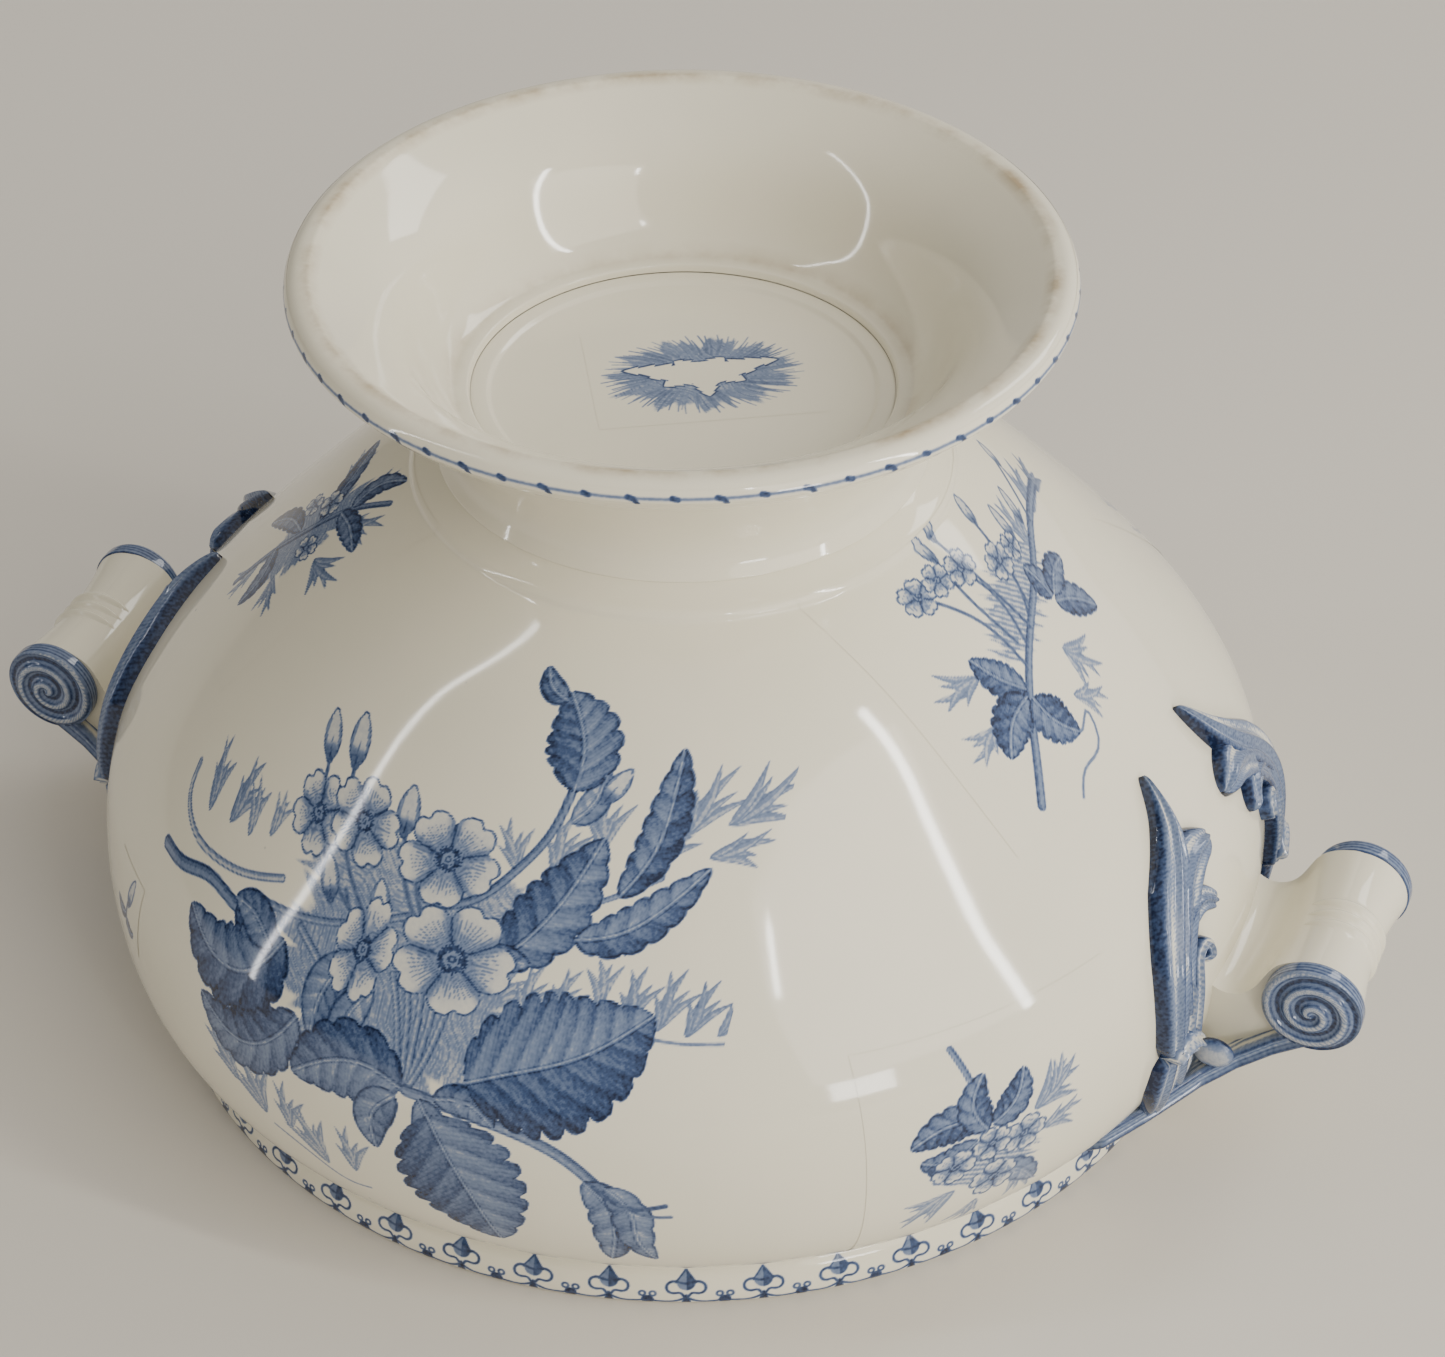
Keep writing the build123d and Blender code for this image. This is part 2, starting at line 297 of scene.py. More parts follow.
def remap(
    tree: bpy.types.NodeTree, value: bpy.types.NodeSocket, span: Point, to: Point, easing: str = "LINEAR"
) -> bpy.types.NodeSocket:
    """Adds a clamped change of range, from a span to another."""
    return add_node(tree, "ShaderNodeMapRange", {"interpolation_type": easing}, {
        "Value": value, "From Min": span[0], "From Max": span[1], "To Min": to[0], "To Max": to[1],
    }).outputs["Result"]


def reckon(
    tree: bpy.types.NodeTree, operation: str, first: object, second: object, clamp: bool = False
) -> bpy.types.NodeSocket:
    """Adds a sum of two values, held between 0 and 1 where asked."""
    settings = {"operation": operation, "use_clamp": clamp}
    return add_node(tree, "ShaderNodeMath", settings, {0: first, 1: second}).outputs["Value"]


def blend(
    tree: bpy.types.NodeTree, share: bpy.types.NodeSocket, under: object, over: object
) -> bpy.types.NodeSocket:
    """Adds a mix of two colours."""
    colours = {"Factor": share, 6: under, 7: over}
    return add_node(tree, "ShaderNodeMix", {"data_type": "RGBA"}, colours).outputs[2]


def set_ramp(node: bpy.types.Node, stops: Sequence[Tuple[float, str]]) -> None:
    """Sets a colour ramp's stops from places and sRGB hex colours."""
    ramp = node.color_ramp
    while len(ramp.elements) < len(stops):
        ramp.elements.new(0.5)
    for element, (place, colour) in zip(ramp.elements, stops):
        element.position = place
        element.color = linear(colour)


@dataclass(frozen=True)
class ClearGlaze:
    """Clear lead-type glaze on pressed cream earthenware, fired glossy.

    It gives the eye a warm white with faint cloudy shifts, pin specks of iron in the clay and
    sharp window reflections that waver a little where the glaze pooled.
    """

    body: str = "#EBE4CF"
    pooled: str = "#DCD7C2"
    speck: str = "#4A5568"
    cloud_mm: float = 55.0
    speck_mm: float = 16.0
    waver_mm: float = 38.0
    roughness: float = 0.07
    ior: float = 1.5

    def ground(self, tree: bpy.types.NodeTree) -> bpy.types.NodeSocket:
        """Builds the unprinted colour.

        Args:
            tree: The material's node tree.

        Returns:
            The colour socket of cloudy glaze with specks.
        """
        tint = blend(tree, noise(tree, self.cloud_mm, 3.0, 0.55), linear(self.body), linear(self.pooled))
        place = add_node(tree, "ShaderNodeTexCoord").outputs["Object"]
        dots = add_node(tree, "ShaderNodeTexVoronoi", None, {
            "Vector": place, "Scale": 1 / (self.speck_mm * MM), "Randomness": 1.0,
        })
        speck = remap(tree, dots.outputs["Distance"], (0.018, 0.034), (0.75, 0.0))
        cells = add_node(tree, "ShaderNodeSeparateColor", None, {"Color": dots.outputs["Color"]})
        chosen = reckon(tree, "GREATER_THAN", cells.outputs["Red"], 0.72)
        return blend(tree, reckon(tree, "MULTIPLY", speck, chosen), tint, linear(self.speck))

    def waver(self, tree: bpy.types.NodeTree) -> bpy.types.NodeSocket:
        """Builds the slow waver of the glaze's surface as a normal socket."""
        bump = add_node(tree, "ShaderNodeBump", None, {
            "Strength": 0.18, "Distance": 1.0 * MM, "Height": noise(tree, self.waver_mm, 2.0, 0.4),
        })
        return bump.outputs["Normal"]

    def finish(self, tree: bpy.types.NodeTree, colour: bpy.types.NodeSocket) -> None:
        """Puts the glossy glaze over a colour and joins it to the output."""
        gloss = add_node(tree, "ShaderNodeBsdfPrincipled", None, {
            "Base Color": colour, "Roughness": self.roughness, "IOR": self.ior,
            "Normal": self.waver(tree),
        })
        add_node(tree, "ShaderNodeOutputMaterial", None, {"Surface": gloss.outputs["BSDF"]})

    def material(self, name: str) -> bpy.types.Material:
        """Makes the plain glazed material."""
        material = bpy.data.materials.new(name)
        tree = blank(material)
        self.finish(tree, self.ground(tree))
        return material


@dataclass(frozen=True)
class CobaltPrint:
    """Cobalt transfer print, engraved in line and stipple, under the same clear glaze.

    The mesh carries how much pigment lies at each place. It gives the eye a run from pale
    wash to near-black navy, broken by the grain of the engraved stipple.
    """

    glaze: ClearGlaze
    wash: str = "#A6AFBF"
    middle: str = "#6F7E99"
    full: str = "#3A4C70"
    deepest: str = "#16203A"
    stipple_mm: float = 0.9
    stain: str = "#9C8257"
    stain_mm: float = 14.0

    def material(self, name: str, stained: bool = False) -> bpy.types.Material:
        """Makes the printed material.

        Args:
            name: The material's name.
            stained: Whether the piece also carries a worn stain.

        Returns:
            The new material.
        """
        material = bpy.data.materials.new(name)
        tree = blank(material)
        pigment = add_node(tree, "ShaderNodeAttribute", {"attribute_name": "pigment"}).outputs["Fac"]
        stipple = remap(tree, noise(tree, self.stipple_mm, 1.0), (0.3, 0.7), (0.82, 1.14))
        laid = reckon(tree, "MULTIPLY", pigment, stipple, True)
        blue = add_node(tree, "ShaderNodeValToRGB", None, {"Fac": laid})
        set_ramp(blue, ((0.0, self.wash), (0.34, self.middle), (0.68, self.full), (1.0, self.deepest)))
        cover = remap(tree, laid, (0.0, 0.28), (0.0, 1.0))
        colour = blend(tree, cover, self.glaze.ground(tree), blue.outputs["Color"])
        if stained:
            worn = add_node(tree, "ShaderNodeAttribute", {"attribute_name": "stain"}).outputs["Fac"]
            broken = remap(tree, noise(tree, self.stain_mm, 4.0, 0.65), (0.42, 0.68), (0.08, 0.8))
            colour = blend(tree, reckon(tree, "MULTIPLY", worn, broken), colour, linear(self.stain))
        self.glaze.finish(tree, colour)
        return material


class Slot(Enum):
    """Two material slot names, which no piece uses."""

    WHITE = "white_glaze"
    PRINTED = "printed_glaze"


def fit_out(
    thing: bpy.types.Object, material: bpy.types.Material, stands_for: Sequence[str] = ()
) -> None:
    """Dresses a piece, lets it ride on the bowl and hides the nodes it stands for."""
    thing.data.materials.append(material)
    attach(thing, ROOT_BODY)
    if stands_for:
        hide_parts(*stands_for)
    LOG.info("%s: %d faces", thing.name, len(thing.data.polygons))


# ---------------------------------------------------------------- engraving

class PrintField:
    """A sheet of transfer print: how much pigment lies at each place of a grid.

    Args:
        across: Distance across the sheet at each grid place, in millimetres.
        upward: Distance up the sheet at each grid place, in millimetres.
    """

    SOFT = 0.3

    def __init__(self, across: np.ndarray, upward: np.ndarray) -> None:
        """Starts a bare sheet."""
        self.across = across
        self.upward = upward
        self.tone = np.zeros_like(across)

    def near(self, curve: np.ndarray, margin: float) -> np.ndarray:
        """Marks the places within a margin of a curve's box."""
        low = curve.min(0) - margin
        high = curve.max(0) + margin
        return (
            (self.across > low[0]) & (self.across < high[0])
            & (self.upward > low[1]) & (self.upward < high[1])
        )

    def follow(self, curve: np.ndarray, spots: np.ndarray) -> Tuple[np.ndarray, np.ndarray]:
        """Measures places against a curve.

        Args:
            curve: Points along the curve.
            spots: The marked places.

        Returns:
            How far along the curve each place lies, from 0 to 1, and its signed distance,
            positive on the left.
        """
        place = np.stack([self.across[spots], self.upward[spots]], -1)
        start, run = curve[:-1], np.diff(curve, axis=0)
        length = np.linalg.norm(run, axis=1) + 1e-9
        offset = place[:, None] - start[None]
        share = np.clip((offset * run[None]).sum(2) / length ** 2, 0, 1)
        gap = offset - share[..., None] * run[None]
        distance = np.linalg.norm(gap, axis=2)
        best = distance.argmin(1)
        pick = np.arange(len(place))
        walked = np.concatenate([[0], np.cumsum(length)])
        along = (walked[best] + share[pick, best] * length[best]) / walked[-1]
        side = np.sign(run[best, 0] * offset[pick, best, 1] - run[best, 1] * offset[pick, best, 0])
        return along, distance[pick, best] * np.where(side == 0, 1, side)

    def trace(
        self, points: Sequence[Point], count: int, margin: float
    ) -> Tuple[np.ndarray, np.ndarray, np.ndarray]:
        """Marks the places near a curve and measures them against it.

        Args:
            points: A few points that the curve passes through.
            count: How many samples to take of it.
            margin: How far round its box to mark.

        Returns:
            The marked places, how far along each lies, and its signed distance.
        """
        curve = spline(points, count) if len(points) > 2 else np.asarray(points, float)
        spots = self.near(curve, margin)
        return (spots, *self.follow(curve, spots))

    def ink(self, spots: np.ndarray, depth: np.ndarray, tone: np.ndarray) -> None:
        """Lays pigment inside an outline, by the depth of each place in from its edge."""
        self.lay(spots, depth / self.SOFT + 0.5, tone)

    def lay(self, spots: np.ndarray, cover: np.ndarray, tone: np.ndarray) -> None:
        """Lays pigment over what is there."""
        cover = np.clip(cover, 0, 1)
        self.tone[spots] = self.tone[spots] * (1 - cover) + np.clip(tone, 0, 1) * cover

    def line(self, points: Sequence[Point], width: float, tone: float, ends: Point = (1.0, 1.0)) -> None:
        """Draws a line that may taper.

        Args:
            points: A few points that it passes through.
            width: Its width in millimetres.
            tone: How dark it is, from 0 to 1.
            ends: Its width at each end, as shares of the width.
        """
        spots, along, side = self.trace(points, 18, width)
        half = width / 2 * (ends[0] + (ends[1] - ends[0]) * along)
        self.ink(spots, half - np.abs(side), tone)

    def stem(self, points: Sequence[Point], width: float, tone: float = 0.5) -> None:
        """Draws a stem with dark edges and a lighter middle, shaded on one side."""
        spots, _, side = self.trace(points, 24, width)
        share = side / (width / 2)
        shade = tone * (0.55 + 0.35 * (share > 0.1)) + 0.4 * smooth_step((np.abs(share) - 0.55) / 0.3)
        self.ink(spots, width / 2 - np.abs(side), shade)

    def leaf(
        self,
        points: Sequence[Point],
        width: float,
        tone: float = 0.7,
        teeth: int = 0,
        veins: int = 7,
        lean: float = 1.0,
    ) -> None:
        """Draws an engraved leaf along its midrib.

        Args:
            points: The midrib, from stalk to tip.
            width: Its widest spread in millimetres.
            tone: How dark its shaded half is.
            teeth: How many rounded teeth run along each edge.
            veins: How many side veins leave the midrib on each side.
            lean: 1 shades the left half darker, -1 the right half.
        """
        curve = spline(points, 26)
        spots = self.near(curve, width * 0.75)
        along, side = self.follow(curve, spots)
        length = np.linalg.norm(np.diff(curve, axis=0), axis=1).sum()
        edge = width / 2 * np.sin(math.pi * np.clip(along, 0, 1) ** 0.82) ** 0.66
        if teeth:
            scallop = 1 - np.abs(np.sin(math.pi * (along * teeth - 0.25 * np.abs(side) / width)))
            edge = edge * (1 - 0.16 * scallop ** 1.6)
        depth = edge - np.abs(side)
        sweep = (along * length - 0.75 * np.abs(side)) / length * veins
        cell = sweep % 1.0
        stroke = comb(sweep * 5 + 0.35 * np.abs(side))
        dark_half = (side * lean > 0).astype(float)
        near_rim = np.abs(side) / np.maximum(edge, 0.2)
        shade = tone * (0.30 + 0.24 * dark_half + 0.36 * cell ** 1.6 + 0.34 * near_rim ** 2)
        shade = shade + tone * 0.16 * (stroke < 0.17) * (0.4 + 0.6 * near_rim)
        shade = shade + 0.20 * smooth_step((0.16 - cell) / 0.08) * (0.9 - 0.5 * near_rim)
        shade = shade + 0.42 * smooth_step(1 - depth / 0.75)
        rib = smooth_step(1.4 - np.abs(side) / 0.24)
        shade = shade * (1 - rib) + rib * (0.22 + 0.2 * dark_half)
        shade = shade + 0.3 * smooth_step(1 - np.abs(np.abs(side) - 0.5) / 0.22)
        self.ink(spots, depth, shade)

    def flower(
        self, centre: Point, radius: float, turn: float = 0.0, squash: float = 1.0, lean: float = 0.0
    ) -> None:
        """Draws an open five-petalled primrose.

        Args:
            centre: Its middle.
            radius: Its size in millimetres.
            turn: How far its petals are turned, in degrees.
            squash: How much of its height shows where it faces away.
            lean: The direction of that squash, in degrees.
        """
        spots = self.near(np.array([centre, centre]), radius * 1.2)
        x = self.across[spots] - centre[0]
        y = self.upward[spots] - centre[1]
        tilt = math.radians(lean)
        flat_x = x * math.cos(tilt) + y * math.sin(tilt)
        flat_y = (-x * math.sin(tilt) + y * math.cos(tilt)) / squash
        reach = np.hypot(flat_x, flat_y)
        angle = np.arctan2(flat_y, flat_x) - math.radians(turn)
        petal = ((angle / (2 * math.pi) * 5) % 1.0) - 0.5
        edge = radius * (1.0 - 0.30 * (2 * np.abs(petal)) ** 3.0 - 0.10 * bell(petal / 0.08))
        depth = edge - reach
        share = reach / radius
        ray = comb(petal * 11 + 0.2 * share)
        shade = 0.10 + 0.72 * np.clip(0.82 - share, 0, 1) ** 1.3 * (0.72 + 0.28 * (ray < 0.22))
        shade = shade + 0.30 * smooth_step((np.abs(petal) - 0.26) / 0.26) * smooth_step((share - 0.2) / 0.2)
        shade = shade + 0.16 * (ray < 0.13) * (share > 0.3) * (share < 0.72)
        seam = (0.5 - np.abs(petal)) * reach * 2 * math.pi / 5
        shade = np.maximum(shade, 0.85 * smooth_step(1.5 - seam / 0.26) * smooth_step((share - 0.2) / 0.08))
        shade = np.maximum(shade, 0.92 * smooth_step(1.2 - depth / 0.5))
        eye = 0.19 + 0.035 * np.cos(10 * math.pi * petal)
        shade = np.where(np.abs(share - eye) < 0.05, 0.85, shade)
        shade = np.where(share < eye - 0.05, 0.34, shade)
        shade = np.where((share < 0.07) & (share > 0.03), 0.8, shade)
        self.ink(spots, depth, shade)

    def bud(self, foot: Point, tip: Point, width: float) -> None:
        """Draws a closed round bud in its dark sepals, from foot to tip."""
        spots, along, side = self.trace((foot, tip), 2, width)
        edge = width / 2 * np.sin(math.pi * (0.04 + 0.92 * along) ** 0.9) ** 0.5
        depth = edge - np.abs(side)
        shade = 0.60 - 0.46 * smooth_step((along - 0.12) / 0.3)
        shade = shade + 0.22 * (np.abs(side) > 0.42 * width * (1 - 0.5 * along))
        shade = shade + 0.3 * smooth_step(1 - np.abs(side) / 0.22) * (along < 0.5)
        shade = np.maximum(shade, 0.85 * smooth_step(1.2 - depth / 0.42))
        self.ink(spots, depth, shade)

    def haze(self, centre: Point, size: Point, tone: float, slant: float = 20.0) -> None:
        """Lays an oval mass of small grey-blue strokes with a ragged edge, as foliage far behind."""
        spots = self.near(np.array([centre, centre]), max(size) * 1.3)
        x = (self.across[spots] - centre[0]) / size[0]
        y = (self.upward[spots] - centre[1]) / size[1]
        angle = np.arctan2(y, x)
        ragged = 0.10 * np.sin(11 * angle) + 0.07 * np.sin(23 * angle + 1.0) + 0.04 * np.sin(41 * angle)
        cover = smooth_step((1.0 + ragged - np.hypot(x, y)) / 0.14)
        lean = math.radians(slant)
        along = self.across[spots] * math.cos(lean) + self.upward[spots] * math.sin(lean)
        over = -self.across[spots] * math.sin(lean) + self.upward[spots] * math.cos(lean)
        row = (along + 1.2 * np.sin(over * 0.45)) / 2.1
        blade = comb(row)
        tip = 0.5 + 0.5 * np.sin(over * 0.8 + 2.2 * np.floor(row))
        self.lay(spots, cover * 0.9, tone * (0.72 + 0.5 * (blade < 0.09) + 0.30 * tip * (blade > 0.25)))

    def tuft(
        self, foot: Point, aim: float, blades: int, length: float, spread: float, tone: float = 0.3
    ) -> None:
        """Draws a tuft of pale grass, its blades fanned about an aim in degrees."""
        for blade in range(blades):
            share = blade / max(blades - 1, 1) - 0.5
            heading = math.radians(aim + share * spread)
            reach = length * (1 - 0.55 * abs(share)) * (0.86 + 0.14 * math.cos(blade * 2.4))
            bow = 0.16 * reach * (1 if share > 0 else -1)
            step = (math.cos(heading), math.sin(heading))
            middle = (
                foot[0] + 0.5 * reach * step[0] + bow * step[1] * 0.5,
                foot[1] + 0.5 * reach * step[1] - bow * step[0] * 0.5,
            )
            tip = (foot[0] + reach * step[0], foot[1] + reach * step[1])
            width = 0.12 * reach + 0.55
            spots, along, side = self.trace((foot, middle, tip), 10, width)
            edge = width / 2 * np.sin(math.pi * np.clip(along, 0, 1) ** 0.7) ** 0.8
            depth = edge - np.abs(side)
            shade = tone * 0.7 + tone * 0.8 * smooth_step(1 - depth / 0.3) + tone * 0.35 * (side > 0)
            self.ink(spots, depth, shade)

    def wash(self, points: Sequence[Point], width: float, tone: float, pitch: float, slant: float) -> None:
        """Lays a band of hatching with soft, ragged edges along a curve."""
        spots, along, side = self.trace(points, 20, width * 0.7)
        angle = math.radians(slant)
        sweep = self.across[spots] * math.cos(angle) + self.upward[spots] * math.sin(angle)
        ragged = 0.12 * width * np.sin(sweep * 2.1) + 0.07 * width * np.sin(sweep * 5.3 + side)
        edge = width / 2 * np.sin(math.pi * np.clip(0.06 + 0.88 * along, 0, 1)) ** 0.5
        cover = smooth_step((edge + ragged - np.abs(side)) / 1.6)
        line = comb(sweep / pitch)
        self.lay(spots, cover, tone * (0.55 + 0.75 * (line < 0.24)))


Sprig = Callable[[PrintField], None]


def great_spray(sheet: PrintField) -> None:
    """Engraves the great spray: primroses, curled and toothed leaves, and grasses."""
    each(sheet.tuft, (
        ((-70, -1), 96, 5, 16, 44, 0.34), ((-62, 1), 72, 5, 17, 50, 0.34), ((-55, 2), 96, 4, 14, 40, 0.30),
        ((-49, 5), 80, 4, 12, 40, 0.28), ((8, 20), 112, 5, 12, 60, 0.30), ((15, 21), 84, 5, 14, 60, 0.32),
        ((23, 26), 96, 5, 15, 60, 0.32), ((33, 24), 58, 5, 14, 60, 0.32), ((38, 30), 62, 5, 17, 60, 0.34),
        ((46, 32), 34, 6, 17, 70, 0.36), ((44, 26), 10, 5, 14, 50, 0.34), ((37, -6), 84, 5, 13, 60, 0.36),
        ((43, -7), 76, 5, 14, 60, 0.36), ((49, -8), 70, 5, 13, 60, 0.38), ((55, -8), 50, 5, 12, 60, 0.36),
        ((31, -3), 96, 4, 12, 50, 0.32), ((10, -6), 60, 5, 14, 70, 0.30), ((16, -7), 74, 5, 13, 60, 0.30),
        ((22, -6), 66, 5, 12, 60, 0.32), ((-38, -50), 118, 6, 18, 70, 0.32), ((-46, -46), 128, 5, 16, 60, 0.32),
        ((-31, -50), 96, 5, 14, 60, 0.30), ((-22, -55), 122, 6, 17, 60, 0.30), ((-15, -53), 96, 5, 14, 60, 0.30),
        ((-28, 6), 108, 5, 13, 60, 0.28), ((14, -20), 36, 5, 12, 60, 0.30),
    ))
    each(sheet.haze, (
        ((-13, -9), (27, 19), 0.40, 24), ((-20, 9), (19, 9), 0.34, 70), ((4, 9), (15, 9), 0.34, 50),
        ((6, -14), (13, 10), 0.34, 8),
    ))
    sheet.line([(-36, -52), (-26, -55), (-17, -58), (-12, -57)], 0.5, 0.4)
    sheet.line([(36, -7), (46, -9), (58, -9.5)], 0.6, 0.42)
    sheet.stem([(-80, 3), (-79.5, -2), (-74, -6), (-64, -6.5), (-52, -4), (-42, 0)], 1.5, 0.34)
    sheet.stem([(-81, -13.5), (-73, -13), (-63, -10), (-52, -10.5), (-43, -11), (-37, -13)], 2.6, 0.62)
    sheet.leaf([(-52, -10), (-47, -12), (-41, -12), (-36, -15)], 8, 0.9, 0, 5, -1)
    sheet.stem([(-46, -6), (-34, -4), (-22, 0), (-10, 6)], 1.5, 0.5)
    sheet.stem([(-34, -6), (-22, -14), (-10, -24), (-3, -27)], 1.9, 0.44)
    for shift in (-4.4, -2.2, 0.0, 2.2, 4.4):
        sheet.stem([(-4 + shift * 1.5, -6), (-3 + shift, -14), (-3 + shift * 0.6, -21), (-3, -27)], 1.5, 0.46)
    each(sheet.stem, (
        ([(-6, 9), (2, 13), (8, 20), (12.5, 28), (14.5, 39)], 1.7, 0.62),
        ([(2, 8), (14, 12), (26, 17), (36, 22)], 1.1, 0.5),
        ([(-3, -27), (8, -28), (20, -30), (30, -34), (38, -41)], 2.4, 0.56),
    ))
    each(sheet.leaf, (
        ([(-37, -10), (-45, -20), (-55, -22), (-66, -17)], 18, 0.86, 8, 6, 1),
        ([(-40, -13), (-47, -9), (-53, -9)], 9, 0.7, 0, 5, -1),
        ([(-30, -22), (-36, -30), (-46, -35), (-58, -31)], 14, 0.82, 9, 7, -1),
        ([(-20, -6), (-25, -15), (-26, -25)], 9.5, 0.62, 0, 6, 1),
        ([(-14, -10), (-19, -20), (-17, -29)], 7.5, 0.5, 0, 6, -1),
        ([(-4, -27), (-12, -25), (-22, -28), (-30, -34)], 17, 0.76, 6, 6, -1),
        ([(-5, -29), (-10, -35), (-9, -43)], 9, 0.66, 0, 4, 1),
        ([(0, -28), (3, -34), (2, -42)], 8, 0.66, 0, 4, 1), ([(3, -27), (10, -26), (16, -30)], 7, 0.7, 0, 4, 1),
        ([(2, -31), (7, -40), (12, -50), (16, -61)], 28, 0.78, 8, 6, -1),
        ([(9, -22), (18, -18), (30, -13), (42, -4)], 30, 0.84, 9, 8, -1),
        ([(34, -39), (39, -45), (40, -52), (38, -63)], 10, 0.72, 4, 4, 1),
        ([(38, -40), (43, -46), (44, -54), (47, -62)], 8.5, 0.6, 4, 4, -1),
    ))
    sheet.line([(36, -40), (43, -45), (50, -44)], 1.1, 0.72)
    sheet.line([(41, -44), (47, -47), (51, -47)], 0.8, 0.6)
    each(sheet.leaf, (
        ([(9, 2), (14, 8), (19, 17), (23, 29)], 15.5, 0.8, 7, 6, 1),
        ([(5, 2), (10, 3), (16, 3)], 6, 0.6, 0, 4, 1),
        ([(29, 18), (33, 26), (34, 36), (33, 47)], 9.5, 0.92, 7, 6, -1),
        ([(23, 9), (31, 11), (38, 16), (45, 24)], 10, 0.78, 7, 6, -1),
        ([(16, 31), (19, 35), (20, 42)], 6, 0.5, 0, 4, -1),
        ([(14.5, 37), (14.5, 43), (12, 50), (8, 56)], 15, 0.84, 6, 6, 1),
        ([(8, 54), (4, 56), (2, 60)], 5, 0.85, 0, 3, 1),
    ))
    for points in (
        [(-40, 26), (-36, 12), (-24, 2)], [(-33, 28), (-30, 14), (-20, 2)], [(-17, 22), (-14, 12), (-8, 4)],
        [(-11, 20), (-11, 12), (-6, 4)], [(-26, 5), (-22, 0), (-14, -4)],
    ):
        sheet.line(points, 0.9, 0.6)
    each(sheet.bud, (
        ((-40, 25), (-42, 33), 5.0), ((-33, 27), (-34, 36), 5.4), ((-17, 20), (-17.5, 28.5), 5.2),
        ((-11.5, 17), (-10.5, 25), 5.2), ((-17, 3), (-18.5, 9.5), 4.6), ((-29, 2), (-32, 9), 4.6),
        ((21, 36), (24, 42), 4.4),
    ))
    each(sheet.flower, (
        ((-38, 15), 8.4, 20, 0.9, 80), ((-26.5, 18.5), 9.2, 64, 0.94, -20), ((-6, 18.5), 11.4, 8, 0.84, 15),
        ((-18.5, -4), 11.2, 40, 0.62, 78), ((0.5, 0.5), 13.2, 26, 0.84, 8),
    ))


def bouquet(sheet: PrintField) -> None:
    """Engraves the leaning bouquet: small flowers, buds, dark trefoil leaves, tendril."""
    each(sheet.tuft, (
        ((-16, 0), 178, 5, 14, 60, 0.34), ((-20, -10), 200, 5, 12, 60, 0.3),
        ((8, -8), 300, 6, 14, 80, 0.32), ((2, -16), 320, 5, 12, 60, 0.3),
        ((22, 8), 60, 5, 13, 70, 0.34), ((34, 8), 20, 6, 15, 60, 0.4), ((44, 6), 10, 5, 12, 60, 0.42),
        ((2, 0), 150, 4, 10, 50, 0.3), ((-2, 8), 330, 5, 12, 60, 0.26),
    ))
    sheet.wash([(-6, 0), (6, 6), (20, 8)], 14, 0.3, 1.2, 40)
    sheet.stem([(-23, -28), (-17, -20), (-9, -10), (2, -1), (16, 5), (30, 9), (46, 7)], 1.9, 0.66)
    for points in (
        [(-4, -4), (-6, 8), (-12, 18)], [(0, -1), (2, 10), (0, 18)], [(6, 2), (10, 8), (11, 13)],
        [(4, 0), (2, 16), (1, 26)], [(8, 3), (12, 14), (14, 22)], [(30, 9), (36, 14), (41, 17)],
        [(-2, 0), (-4, 14), (-3, 24)],
    ):
        sheet.line(points, 0.7, 0.7)
    sheet.line([(-6, -12), (-2, -22), (2, -20), (0, -26), (-8, -28), (-13, -32)], 0.6, 0.5)
    each(sheet.bud, (
        ((1, 26), (2, 33), 3.0), ((-3, 23), (-4, 30), 3.0), ((14, 21), (16, 27), 3.0),
        ((41, 16), (44, 20), 2.6), ((20, 12), (22, 19), 3.0), ((27, 11), (31, 17), 2.8),
    ))
    each(sheet.leaf, (
        ([(-8, -8), (-12, -3), (-15, 4)], 8.5, 0.85, 7, 5, 1),
        ([(-9, -9), (-16, -11), (-22, -17)], 10, 0.9, 8, 5, -1),
        ([(-8, -10), (-7, -16), (-3, -22)], 10.5, 0.88, 8, 5, 1),
        ([(16, -1), (16, 3), (15, 8)], 7, 0.82, 5, 4, 1),
        ([(16, -2), (21, -5), (28, -12)], 7.5, 0.84, 6, 4, -1), ([(17, -1), (23, 1), (29, 0)], 7, 0.8, 6, 4, 1),
    ))
    for centre, radius, turn in (
        ((-13.5, 19.5), 5.0, 10), ((-6.5, 20.0), 4.4, 40), ((0.5, 18.5), 4.8, 70), ((10.5, 13), 4.8, 22),
        ((17, 12), 3.6, 50),
    ):
        sheet.flower(centre, radius, turn, 0.86, 20)


